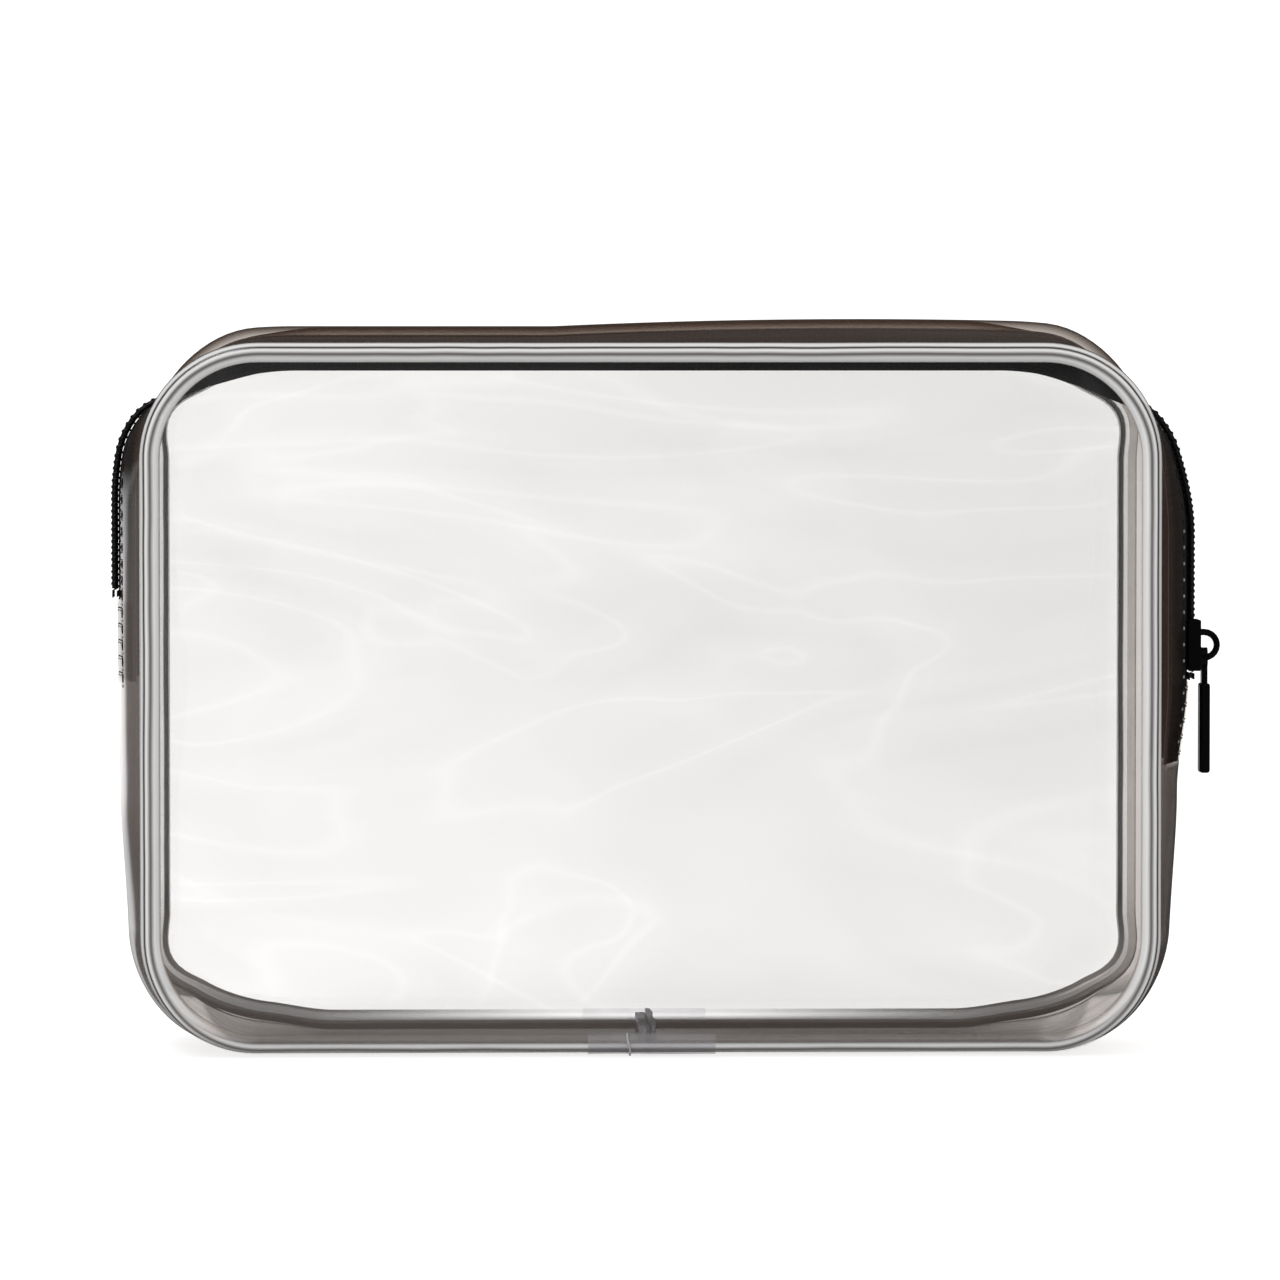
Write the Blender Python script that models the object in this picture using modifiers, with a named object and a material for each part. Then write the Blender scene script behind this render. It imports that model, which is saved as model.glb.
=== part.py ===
"""Clear zip pouch for make-up, standing on its base with its mouth closed.

Two flat clear panels are joined by a soft band that runs right round the bag.
Piping covers both seams, and a black coil zip is sewn into a slot in the band.
Metres, +Z up, front of the bag towards -Y, origin on the floor under its middle.
"""

import math

import bmesh
import bpy
from mathutils import Vector

# Bag
BAG_WIDTH = 0.200  # across the outside of the piping
BAG_HEIGHT = 0.140  # floor to the top of the piping
BAG_DEPTH = 0.060  # across the outside of the two pipings
CORNER_RADIUS = 0.021  # of the seam line, which is the piping's centre line
SHEET = 0.0005  # thickness of the clear sheet
CLEARANCE = 0.0003  # between pieces that lie against each other

# Piping, and the clear tape wrapped round the joint of its two ends
PIPING_RADIUS = 0.0020
WRAP_WALL = 0.0003
WRAP_LENGTH = 0.025
WRAP_OPENING = math.radians(25)  # from the panel, and from the band, to the wrap's edges

# Shape of the soft band between the two seams
RIGHT_BULGE = 0.0099  # outwards, along the zip on the right side
LEFT_BULGE = 0.0074  # outwards, along the zip on the left side
LOWER_RIGHT_BULGE = 0.0073  # outwards, below the zip
LOWER_LEFT_BULGE = 0.0064
TUCK = 0.0014  # of the side bulges inwards, down to the lower corners
TUCK_START = 0.050  # height where the tuck starts
TUCK_END = 0.022  # height where it is full
SHOULDER_FADE = 0.044  # height over which the side bulges die out, from the fold on the right
LEFT_SHOULDER = 0.012  # from the fold up to where the left bulge starts to die out
RIGHT_FADE = 0.022  # height below the slot over which the right bulge settles to the lower one
LEFT_FADE = 0.050
ZIP_SAG = 0.0035  # of the zip below the seam, along the top
TOP_HUMP = 0.0057  # of the band above the seam, either side of the zip
TOP_LIFT = 0.0014  # of the hump, where it is highest
LIFT_PLACE = 0.041  # from the middle of the bag to there
LIFT_SPREAD = 0.060
CORNER_DIP = 0.0020  # of the zip inwards, as it rounds the top corners
DIP_START = 0.20  # shares of a corner's turn, from the side: where the dip starts,
DIP_FULL = 0.45  # is deepest,
DIP_FADE = 0.60  # starts to fade
DIP_END = 1.20  # and ends, a little along the top
BASE_EDGE = 0.005  # from the seam in to the flat of the base

# Fin where the two ends of the band are joined, inside at the middle of the base
FIN_THICKNESS = 0.0020
FIN_HEIGHT = 0.0058

# Zip
TAPE = 0.0005  # thickness
TAPE_WIDTH = 0.015  # of one half
TAPE_TAIL = 0.016  # past each end of the slot
COIL_RADIUS = 0.0008
POST_WIDTH = 0.0010  # the slider's post, which parts the two coils
TACK_LENGTH = 0.0015
TACK_RISE = 0.0012  # thickness of the thread tack that ends the zip

# Mouth: the front bends forwards at the fold, above the ends of the zip
FOLD_BELOW_CORNER = 0.0200  # from the start of the top corners down to the fold
LEFT_TAIL = 0.0080  # of the slot, below the fold on the left

# Slider and pull
SLIDER_LENGTH = 0.0102
SLIDER_TRAVEL = 0.012  # up the straight run of the zip, from the tack to the fold
SLIDER_PLATE = 0.0006
SLIDER_FLANGE = 0.0009
SLIDER_CLEARANCE = 0.0003
SLIDER_POST_LENGTH = 0.0030
SLIDER_EDGE = 0.0003  # rounding of its outer edges
SLOT_CLEARANCE = 0.0025  # from the slider to the edges of the slot
BRIDGE_WIRE = 0.00065  # radius
BRIDGE_ROOM = 0.0005  # from the pull's eye to the middle of the bridge's bend
PULL_LENGTH = 0.0250
PULL_THICKNESS = 0.0012
PULL_EYE_RIM = 0.0010
PULL_EYE_CLEARANCE = 0.0004
PULL_NECK_LENGTH = 0.0030
PULL_NECK_WIDTH = 0.0024
PULL_BAR_WIDTH = 0.0046
PULL_BAR_THICKNESS = 0.0021
PULL_BAR_EDGE = 0.0005

# How finely curved stretches are divided
CORNER_STEPS = 8
SIDE_STEP = 0.008
WRAP_STEPS = 10
BEND_STEPS = 10
HOLE_STEPS = 20

# Places that follow from the sizes above
FOLD_GAP = CLEARANCE
SEAM_HALF_WIDTH = BAG_WIDTH / 2 - PIPING_RADIUS
SEAM_BOTTOM = PIPING_RADIUS + CLEARANCE + WRAP_WALL
SEAM_TOP = BAG_HEIGHT - PIPING_RADIUS
PANEL_PLANE = BAG_DEPTH / 2 - PIPING_RADIUS
BAND_HALF_DEPTH = PANEL_PLANE - PIPING_RADIUS - CLEARANCE
PANEL_INSET = PIPING_RADIUS + CLEARANCE

HALF_FLAT = SEAM_HALF_WIDTH - CORNER_RADIUS
SIDE_RUN = SEAM_TOP - SEAM_BOTTOM - 2 * CORNER_RADIUS
QUARTER = CORNER_RADIUS * math.pi / 2
SEAM_PIECES = (
    (HALF_FLAT, False),
    (QUARTER, True),
    (SIDE_RUN, False),
    (QUARTER, True),
    (2 * HALF_FLAT, False),
    (QUARTER, True),
    (SIDE_RUN, False),
    (QUARTER, True),
    (HALF_FLAT, False),
)
SEAM_LENGTH = sum(length for length, turns in SEAM_PIECES)

COIL_GAP = POST_WIDTH / 2 + CLEARANCE  # from the middle of the zip to a coil or a tape
COIL_CENTRE = COIL_GAP + COIL_RADIUS
CHAIN_HALF_WIDTH = COIL_GAP + 2 * COIL_RADIUS
CHANNEL_HALF_WIDTH = CHAIN_HALF_WIDTH + SLIDER_CLEARANCE
SLIDER_HALF_WIDTH = CHANNEL_HALF_WIDTH + SLIDER_FLANGE
SLOT_HALF_WIDTH = SLIDER_HALF_WIDTH + SLOT_CLEARANCE

FOLD = SEAM_TOP - CORNER_RADIUS - FOLD_BELOW_CORNER
SLIDER_TOP = FOLD - CLEARANCE - SLIDER_TRAVEL
SLIDER_HEIGHT = SLIDER_TOP - SLIDER_LENGTH / 2
RIGHT_TACK_TOP = SLIDER_TOP - SLIDER_LENGTH - CLEARANCE
RIGHT_SLOT_END = RIGHT_TACK_TOP - TACK_LENGTH - CLEARANCE
LEFT_SLOT_END = FOLD - LEFT_TAIL
LEFT_TACK_TOP = LEFT_SLOT_END + CLEARANCE + TACK_LENGTH

# Depths of the zip's layers, out from the middle of the sheet
TAPE_LEVEL = -(SHEET / 2 + CLEARANCE + TAPE / 2)
TAPE_FACE = TAPE_LEVEL + TAPE / 2
COIL_LEVEL = TAPE_FACE + CLEARANCE + COIL_RADIUS
COIL_FACE = COIL_LEVEL + COIL_RADIUS

MOUTH_AXIS = Vector((0, -BAG_DEPTH / 2, FOLD))


def seam(s):
    """Place and heading on the seam line, s metres from its bottom middle, anticlockwise from the front."""
    s %= SEAM_LENGTH
    x, z, heading = 0.0, SEAM_BOTTOM, 0.0
    for length, turns in SEAM_PIECES:
        step = min(s, length)
        if turns:
            turned = heading + step / CORNER_RADIUS
            x += CORNER_RADIUS * (math.sin(turned) - math.sin(heading))
            z += CORNER_RADIUS * (math.cos(heading) - math.cos(turned))
            heading = turned
        else:
            x += step * math.cos(heading)
            z += step * math.sin(heading)
        s -= step
        if s <= 0:
            break
    return x, z, heading


def on_right(z):
    """How far along the seam line this height is, on the right side."""
    return HALF_FLAT + QUARTER + z - SEAM_BOTTOM - CORNER_RADIUS


def on_left(z):
    return SEAM_LENGTH - on_right(z)


def stations(start, end, straight_step=SIDE_STEP):
    """Places along the seam line from start to end. All strips share those between the two."""
    places = [start]
    done = -SEAM_LENGTH
    while done < end:
        for length, turns in SEAM_PIECES:
            step = QUARTER / CORNER_STEPS if turns else straight_step
            count = max(1, round(length / step))
            shared = [done + length * i / count for i in range(count)]
            places += [s for s in shared if start + CLEARANCE < s < end - CLEARANCE]
            done += length
    return places + [end]


def across_lines(low, high):
    """Distances from the middle of the band, from low to high. All strips share those between the two."""
    tape_edge = COIL_GAP + TAPE_WIDTH
    shared = [
        0,
        SLOT_HALF_WIDTH / 2,
        SLOT_HALF_WIDTH,
        (SLOT_HALF_WIDTH + tape_edge) / 2,
        tape_edge,
        BAND_HALF_DEPTH - BASE_EDGE,
        BAND_HALF_DEPTH,
    ]
    return [low] + sorted(y for y in shared if low + CLEARANCE < y < high - CLEARANCE) + [high]


def smooth(share):
    share = min(1.0, max(0.0, share))
    return share * share * (3 - 2 * share)


def corner_dip(s):
    """How far the middle of the band dips inwards as it rounds a top corner."""
    s %= SEAM_LENGTH
    turned = (min(s, SEAM_LENGTH - s) - HALF_FLAT - QUARTER - SIDE_RUN) / QUARTER
    entered = smooth((turned - DIP_START) / (DIP_FULL - DIP_START))
    left = smooth((turned - DIP_FADE) / (DIP_END - DIP_FADE))
    return CORNER_DIP * entered * (1 - left)


def bulge(s, y):
    """How far the band stands out from the seam line, at this distance from its middle."""
    x, z, heading = seam(s)
    share = y / BAND_HALF_DEPTH
    crown = 1 - share * share
    outwards, upwards = math.sin(heading), -math.cos(heading)
    if x > 0:
        full, low, end, fade = RIGHT_BULGE, LOWER_RIGHT_BULGE, RIGHT_SLOT_END, RIGHT_FADE
        shoulder = FOLD
    else:
        full, low, end, fade = LEFT_BULGE, LOWER_LEFT_BULGE, LEFT_SLOT_END, LEFT_FADE
        shoulder = FOLD + LEFT_SHOULDER
    side = low + (full - low) * smooth((z - end) / fade + 1)
    side -= TUCK * smooth((TUCK_START - z) / (TUCK_START - TUCK_END))
    side *= 1 - smooth((z - shoulder) / SHOULDER_FADE)
    hump = TOP_HUMP + TOP_LIFT * max(0.0, 1 - ((x - LIFT_PLACE) / LIFT_SPREAD) ** 2)
    rise = ZIP_SAG + 2 * hump + 2 * math.sqrt(hump * (ZIP_SAG + hump))
    top = rise * share * share - ZIP_SAG
    base = (SEAM_BOTTOM - SHEET / 2) * smooth((BAND_HALF_DEPTH - abs(y)) / BASE_EDGE)
    out = (outwards**2 * side + max(0.0, upwards) ** 2 * top - corner_dip(s)) * crown
    return out + max(0.0, -upwards) ** 2 * base


def band_middle(s, y):
    """A point on the middle of the band's sheet."""
    x, z, heading = seam(s)
    out = bulge(s, y)
    return Vector((x + out * math.sin(heading), y, z - out * math.cos(heading)))


def band(s, y, level=0.0):
    """A point this far out from the middle of the band's sheet, square to it."""
    near = CLEARANCE
    along = band_middle(s + near, y) - band_middle(s - near, y)
    across = band_middle(s, y + near) - band_middle(s, y - near)
    return band_middle(s, y) + across.cross(along).normalized() * level


def make_collection(name):
    collection = bpy.data.collections.new(name)
    bpy.context.scene.collection.children.link(collection)
    return collection


def make_material(name, colour, roughness, metallic=0.0, clear=0.0):
    material = bpy.data.materials.new(name)
    material.use_nodes = True
    shader = material.node_tree.nodes["Principled BSDF"]
    shader.inputs["Base Color"].default_value = (*colour, 1)
    shader.inputs["Roughness"].default_value = roughness
    shader.inputs["Metallic"].default_value = metallic
    shader.inputs["Transmission Weight"].default_value = clear
    return material


def add_object(name, data, material, collection):
    made = bpy.data.objects.new(name, data)
    collection.objects.link(made)
    data.materials.append(material)
    return made


def hang_on(holder, *pieces):
    """Parents pieces to what carries them, where they are."""
    bpy.context.view_layer.update()
    for piece in pieces:
        piece.parent = holder
        piece.matrix_parent_inverse = holder.matrix_world.inverted()


def sheet_strip(name, places, across, level, thickness, look, collection, left_out=None):
    """A strip of sheet or tape along the band, over these places and distances from its middle.

    left_out says whether the strip has a hole at a place and distance.
    """
    mesh = bmesh.new()
    columns, rows = len(places) - 1, len(across) - 1
    bmesh.ops.create_grid(mesh, x_segments=columns, y_segments=rows, size=1)
    if left_out:
        holes = []
        for face in mesh.faces:
            middle = face.calc_center_median()
            column = int((middle.x + 1) / 2 * columns)
            row = int((middle.y + 1) / 2 * rows)
            if left_out((places[column] + places[column + 1]) / 2, (across[row] + across[row + 1]) / 2):
                holes.append(face)
        bmesh.ops.delete(mesh, geom=holes, context="FACES")
    for vertex in mesh.verts:
        column = round((vertex.co.x + 1) / 2 * columns)
        row = round((vertex.co.y + 1) / 2 * rows)
        vertex.co = band(places[column], across[row], level)
    bmesh.ops.remove_doubles(mesh, verts=mesh.verts, dist=CLEARANCE / 10)
    bmesh.ops.reverse_faces(mesh, faces=mesh.faces)
    data = bpy.data.meshes.new(name)
    mesh.to_mesh(data)
    mesh.free()
    data.shade_smooth()
    made = add_object(name, data, look, collection)
    solid = made.modifiers.new("thickness", "SOLIDIFY")
    solid.thickness = thickness
    solid.offset = 0
    return made


def curve_data(name, splines, closed=False, flat=False):
    data = bpy.data.curves.new(name, "CURVE")
    data.dimensions = "2D" if flat else "3D"
    for points in splines:
        spline = data.splines.new("POLY")
        spline.points.add(len(points) - 1)
        for point, place in zip(spline.points, points):
            point.co = (*place, 1)
        spline.use_cyclic_u = closed
    return data


def tube(name, points, radius, look, collection):
    data = curve_data(name, [points])
    data.bevel_depth = radius
    data.bevel_resolution = 2
    data.use_fill_caps = True
    return add_object(name, data, look, collection)


def plate(name, outlines, thickness, look, collection):
    """A flat plate that stands upright, from outlines in x and z."""
    flat = [[(x, z, 0) for x, z in outline] for outline in outlines]
    data = curve_data(name, flat, closed=True, flat=True)
    data.fill_mode = "BOTH"
    data.extrude = thickness / 2
    made = add_object(name, data, look, collection)
    made.rotation_euler.x = math.pi / 2
    return made


def as_mesh(curve, look, collection):
    """The curve object's shape as a mesh object with its caps joined on."""
    bpy.context.view_layer.update()
    graph = bpy.context.evaluated_depsgraph_get()
    data = bpy.data.meshes.new_from_object(curve.evaluated_get(graph))
    mesh = bmesh.new()
    mesh.from_mesh(data)
    bmesh.ops.remove_doubles(mesh, verts=mesh.verts, dist=CLEARANCE / 100)
    mesh.to_mesh(data)
    mesh.free()
    name, place = curve.name, curve.matrix_world.copy()
    bpy.data.objects.remove(curve)
    data.materials.clear()
    made = add_object(name, data, look, collection)
    made.matrix_world = place
    return made


def box(name, low, high, look, collection):
    mesh = bmesh.new()
    bmesh.ops.create_cube(mesh, size=1)
    low, high = Vector(low), Vector(high)
    for vertex in mesh.verts:
        vertex.co = Vector(l + (c + 0.5) * (h - l) for l, c, h in zip(low, vertex.co, high))
    data = bpy.data.meshes.new(name)
    mesh.to_mesh(data)
    mesh.free()
    return add_object(name, data, look, collection)


def round_edges(piece, width, segments=2):
    edges = piece.modifiers.new("rounded_edges", "BEVEL")
    edges.width = width
    edges.segments = segments
    edges.limit_method = "ANGLE"


def combine(piece, other, operation, cutters):
    """Cuts other from piece, or joins it on, and puts it away with the cutters."""
    boolean = piece.modifiers.new(other.name, "BOOLEAN")
    boolean.operation = operation
    boolean.object = other
    other.hide_render = True
    other.display_type = "WIRE"
    for collection in list(other.users_collection):
        collection.objects.unlink(other)
    cutters.objects.link(other)


def panel_outline(start, end):
    """The panel's edge, inside the seam line, between these places on it."""
    places = stations(start, end, straight_step=SEAM_LENGTH)
    points = []
    for x, z, heading in map(seam, places):
        points.append((x - PANEL_INSET * math.sin(heading), z + PANEL_INSET * math.cos(heading)))
    return points


def seam_run(start, end, y):
    """Points for piping along the seam line."""
    places = stations(start, end, straight_step=SEAM_LENGTH)
    return [(x, y, z) for x, z, heading in map(seam, places)]


def make_panels(look, collection):
    """Returns the back panel and the front panel's two halves, lower and upper."""
    right, left = on_right(FOLD), on_left(FOLD)
    half = FOLD_GAP / 2
    back = plate("back_panel", [panel_outline(0, SEAM_LENGTH)[:-1]], SHEET, look, collection)
    lower = plate(
        "front_panel_lower", [panel_outline(left - SEAM_LENGTH + half, right - half)], SHEET, look, collection
    )
    upper = plate("front_panel_upper", [panel_outline(right + half, left - half)], SHEET, look, collection)
    back.location.y = PANEL_PLANE
    lower.location.y = upper.location.y = -PANEL_PLANE
    return back, lower, upper


def make_piping(look, wrap_look, collection):
    """Returns the pieces that stay still and the front's upper run. Each seam's piping ends at its bottom middle."""
    right, left = on_right(FOLD), on_left(FOLD)
    half = FOLD_GAP / 2
    runs = {
        "rear_piping": (half, SEAM_LENGTH - half, PANEL_PLANE),
        "front_piping_right": (half, right - half, -PANEL_PLANE),
        "front_piping_left": (left + half, SEAM_LENGTH - half, -PANEL_PLANE),
        "front_piping_upper": (right + half, left - half, -PANEL_PLANE),
    }
    made = {}
    for name, (start, end, y) in runs.items():
        made[name] = tube(name, seam_run(start, end, y), PIPING_RADIUS, look, collection)
    upper = made.pop("front_piping_upper")
    wraps = [make_wrap(name, side, wrap_look, collection) for name, side in (("front", -1), ("rear", 1))]
    return [*made.values(), *wraps], upper


def make_wrap(name, side, look, collection):
    """Clear tape wrapped round the piping's joint, open towards the panel and the band. side is -1 at the front."""
    inside = PIPING_RADIUS + CLEARANCE
    sweep = 1.5 * math.pi - 2 * WRAP_OPENING
    angles = [math.pi / 2 + WRAP_OPENING + sweep * i / WRAP_STEPS for i in range(WRAP_STEPS + 1)]
    outer = [(math.cos(a) * (inside + WRAP_WALL), math.sin(a) * (inside + WRAP_WALL)) for a in angles]
    inner = [(math.cos(a) * inside, math.sin(a) * inside) for a in reversed(angles)]
    outline = [(-side * y, z) for y, z in outer + inner]
    made = plate(f"{name}_piping_wrap", [outline], WRAP_LENGTH, look, collection)
    made.rotation_euler.z = math.pi / 2
    made.location = (0, side * PANEL_PLANE, SEAM_BOTTOM)
    return made


def make_fin(look, collection):
    """The turned-up, welded ends of the band."""
    half_depth = BAND_HALF_DEPTH - BASE_EDGE
    foot = SHEET + CLEARANCE
    low = (-FIN_THICKNESS / 2, -half_depth, foot)
    high = (FIN_THICKNESS / 2, half_depth, foot + FIN_HEIGHT)
    fin = box("band_seam_fin", low, high, look, collection)
    round_edges(fin, FIN_THICKNESS / 4)
    return fin


def make_band(look, collection):
    """Returns the band with its slot for the zip, and its front strip above the fold, which swings open."""
    half = FOLD_GAP / 2
    slot = on_right(RIGHT_SLOT_END), on_left(LEFT_SLOT_END)
    flap = on_right(FOLD - half), on_left(FOLD - half)
    marks = [*slot, *flap]
    shared = [s for s in stations(0, SEAM_LENGTH) if min(abs(s - mark) for mark in marks) > CLEARANCE]
    places = sorted(shared + marks)
    side = across_lines(0, BAND_HALF_DEPTH)
    across = [-y for y in reversed(side[1:])] + side

    def left_out(s, y):
        in_slot = abs(y) < SLOT_HALF_WIDTH and slot[0] < s < slot[1]
        in_flap = y < 0 and flap[0] < s < flap[1]
        return in_slot or in_flap

    fixed = sheet_strip("side_band", places, across, 0, SHEET, look, collection, left_out)
    places = stations(on_right(FOLD + half), on_left(FOLD + half))
    across = [-y for y in reversed(across_lines(SLOT_HALF_WIDTH, BAND_HALF_DEPTH))]
    strip = sheet_strip("front_band_strip", places, across, 0, SHEET, look, collection)
    return fixed, strip


def make_tapes(look, collection):
    """Returns the zip tapes that stay still, and the front one above the fold."""
    right_end = on_right(RIGHT_SLOT_END - TAPE_TAIL)
    left_end = on_left(LEFT_SLOT_END - TAPE_TAIL)
    half = FOLD_GAP / 2
    runs = {
        "rear_zip_tape": (right_end, left_end, 1),
        "front_zip_tape_right_tail": (right_end, on_right(FOLD - half), -1),
        "front_zip_tape_left_tail": (on_left(FOLD - half), left_end, -1),
        "front_zip_tape": (on_right(FOLD + half), on_left(FOLD + half), -1),
    }
    made = []
    for name, (start, end, side) in runs.items():
        across = sorted(side * y for y in across_lines(COIL_GAP, COIL_GAP + TAPE_WIDTH))
        made.append(sheet_strip(name, stations(start, end), across, TAPE_LEVEL, TAPE, look, collection))
    return made[:-1], made[-1]


def make_coils(look, collection):
    """Returns the zip coils that stay still, and the front one above the fold."""
    right_end = on_right(RIGHT_TACK_TOP + CLEARANCE)
    left_end = on_left(LEFT_TACK_TOP + CLEARANCE)
    half = FOLD_GAP / 2
    runs = {
        "rear_zip_coil": (right_end, left_end, 1),
        "front_zip_coil_right_tail": (right_end, on_right(FOLD - half), -1),
        "front_zip_coil_left_tail": (on_left(FOLD - half), left_end, -1),
        "front_zip_coil": (on_right(FOLD + half), on_left(FOLD + half), -1),
    }
    made = []
    for name, (start, end, side) in runs.items():
        points = [band(s, side * COIL_CENTRE, COIL_LEVEL) for s in stations(start, end)]
        made.append(tube(name, points, COIL_RADIUS, look, collection))
    return made[:-1], made[-1]


def make_tacks(look, collection):
    """The thread tack across each end of the zip, which stops the slider."""
    tacks = []
    for name, top, place in (("right", RIGHT_TACK_TOP, on_right), ("left", LEFT_TACK_TOP, on_left)):
        foot = band(place(top), 0, TAPE_FACE + CLEARANCE)
        rise = math.copysign(TACK_RISE, foot.x)
        inner, outer = sorted((foot.x, foot.x + rise))
        low = (inner, -SLIDER_HALF_WIDTH, top - TACK_LENGTH)
        tack = box(f"{name}_zip_tack", low, (outer, SLIDER_HALF_WIDTH, top), look, collection)
        round_edges(tack, TACK_RISE / 4)
        tacks.append(tack)
    return tacks


def make_slider(look, collection, cutters):
    """The slider round both coils, and the bridge of wire that its pull hangs on. Returns both."""
    chain = band(on_right(SLIDER_HEIGHT), 0).x
    half = SLIDER_LENGTH / 2
    # The tapes fall away a little from the middle of the bulge, so the lower plate clears their edges.
    drop = chain - band(on_right(SLIDER_HEIGHT), SLIDER_HALF_WIDTH).x
    floor = TAPE_LEVEL - TAPE / 2 - drop - SLIDER_CLEARANCE
    lip = TAPE_FACE + SLIDER_CLEARANCE
    roof = COIL_FACE + SLIDER_CLEARANCE
    face = roof + SLIDER_PLATE
    past = 2 * SLIDER_LENGTH

    low = (floor - SLIDER_PLATE, -SLIDER_HALF_WIDTH, -half)
    body = box("slider_body", low, (face, SLIDER_HALF_WIDTH, half), look, collection)
    round_edges(body, SLIDER_EDGE)
    channel_low = (floor, -CHANNEL_HALF_WIDTH, -past)
    channel = box("coil_channel", channel_low, (roof, CHANNEL_HALF_WIDTH, past), look, collection)
    opening = box("tape_opening", (floor, -past, -past), (lip, past, past), look, collection)
    post_low = (floor - SLIDER_PLATE / 2, -POST_WIDTH / 2, half - SLIDER_POST_LENGTH - SLIDER_EDGE)
    post_high = (roof + SLIDER_PLATE / 2, POST_WIDTH / 2, half - SLIDER_EDGE)
    post = box("slider_post", post_low, post_high, look, collection)
    pieces = (body, channel, opening, post)
    for piece in pieces:
        piece.location = (chain, 0, SLIDER_HEIGHT)
    combine(body, channel, "DIFFERENCE", cutters)
    combine(body, opening, "DIFFERENCE", cutters)
    combine(body, post, "UNION", cutters)

    pivot = bridge_pivot(chain + face)
    foot = chain + face + CLEARANCE
    bend = bridge_bend()
    turns = [math.pi * i / BEND_STEPS - math.pi / 2 for i in range(BEND_STEPS + 1)]
    arc = [(pivot.x + bend * math.cos(a), 0, pivot.z + bend * math.sin(a)) for a in turns]
    route = [(foot, 0, pivot.z - bend), *arc, (foot, 0, pivot.z + bend)]
    bridge = tube("slider_bridge", route, BRIDGE_WIRE, look, collection)
    hang_on(body, bridge)
    return body, bridge, pivot


def eye_radius():
    return BRIDGE_WIRE + PULL_EYE_CLEARANCE


def bridge_bend():
    """Radius of the bridge's wire, about the point that the pull turns on."""
    return eye_radius() + PULL_EYE_RIM + BRIDGE_ROOM


def bridge_pivot(face):
    """The middle of the bridge's bend. The pull hangs straight below it."""
    return Vector((face + PULL_THICKNESS / 2 + CLEARANCE, 0, SLIDER_HEIGHT))


def circle(centre_z, radius, start, end, steps):
    angles = [start + (end - start) * i / steps for i in range(steps + 1)]
    return [(radius * math.cos(a), centre_z + radius * math.sin(a)) for a in angles]


def make_pull(pivot, look, collection, cutters):
    """The pull: an eye round the bridge, a neck and a thicker bar, turning on the middle of the bridge's bend."""
    hole = eye_radius()
    rim = hole + PULL_EYE_RIM
    eye = -bridge_bend()
    end = eye + rim - PULL_LENGTH
    bar_top = eye - rim - PULL_NECK_LENGTH
    neck = PULL_NECK_WIDTH / 2
    lean = math.asin(neck / rim)
    outline = circle(eye, rim, lean - math.pi / 2, 1.5 * math.pi - lean, HOLE_STEPS)
    outline += [(-neck, bar_top - PULL_BAR_EDGE * 2), (neck, bar_top - PULL_BAR_EDGE * 2)]
    opening = circle(eye, hole, 0, 2 * math.pi, HOLE_STEPS)[:-1]
    pull = plate("pull_tab", [outline, opening], PULL_THICKNESS, look, collection)
    pull.rotation_euler.z = math.pi / 2
    pull.location = pivot
    pull = as_mesh(pull, look, collection)
    low = (-PULL_BAR_THICKNESS / 2, -PULL_BAR_WIDTH / 2, end)
    bar = box("pull_bar", low, (PULL_BAR_THICKNESS / 2, PULL_BAR_WIDTH / 2, bar_top), look, collection)
    bar.location = pivot
    round_edges(bar, PULL_BAR_EDGE)
    combine(pull, bar, "UNION", cutters)
    return pull


def make_bag():
    for old in list(bpy.data.objects):
        bpy.data.objects.remove(old)
    parts = make_collection("clear_zip_pouch")
    cutters = make_collection("cutters")
    panel_look = make_material("clear_panel_sheet", (0.93, 0.93, 0.92), 0.06, clear=0.95)
    band_look = make_material("clear_band_sheet", (0.62, 0.60, 0.58), 0.08, clear=0.8)
    piping_look = make_material("clear_piping", (0.88, 0.88, 0.88), 0.08, clear=0.9)
    tape_look = make_material("black_zip_tape", (0.02, 0.02, 0.022), 0.9)
    coil_look = make_material("black_zip_coil", (0.012, 0.012, 0.014), 0.45)
    metal_look = make_material("black_zip_metal", (0.01, 0.01, 0.011), 0.35, metallic=0.3)

    back, lower, upper = make_panels(panel_look, parts)
    still_piping, upper_piping = make_piping(piping_look, panel_look, parts)
    fixed_band, front_strip = make_band(band_look, parts)
    fin = make_fin(band_look, parts)
    still_tapes, front_tape = make_tapes(tape_look, parts)
    still_coils, front_coil = make_coils(coil_look, parts)
    tacks = make_tacks(tape_look, parts)
    slider, bridge, pivot = make_slider(metal_look, parts, cutters)
    pull = make_pull(pivot, metal_look, parts, cutters)

    base = bpy.data.objects.new("bag", None)
    mouth = bpy.data.objects.new("mouth_hinge", None)
    mouth.location = MOUTH_AXIS
    for empty in (base, mouth):
        parts.objects.link(empty)
    hang_on(base, mouth, slider, back, lower, fixed_band, fin)
    hang_on(base, *still_piping, *still_tapes, *still_coils, *tacks)
    hang_on(mouth, upper, upper_piping, front_strip, front_tape, front_coil)
    hang_on(slider, pull)


make_bag()
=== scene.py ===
"""Looks of the clear make-up bag: soft sheets, piping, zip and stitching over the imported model.

Metres, +Z up, front of the bag towards -Y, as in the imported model. The sizes of the bag and its zip
repeat the part's own, so each sheet, bead and tape lies where its solid is. Those that differ say so.
"""

from math import atan2, cos, degrees, pi, radians, sin, sqrt

import bpy
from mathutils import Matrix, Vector, noise


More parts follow.
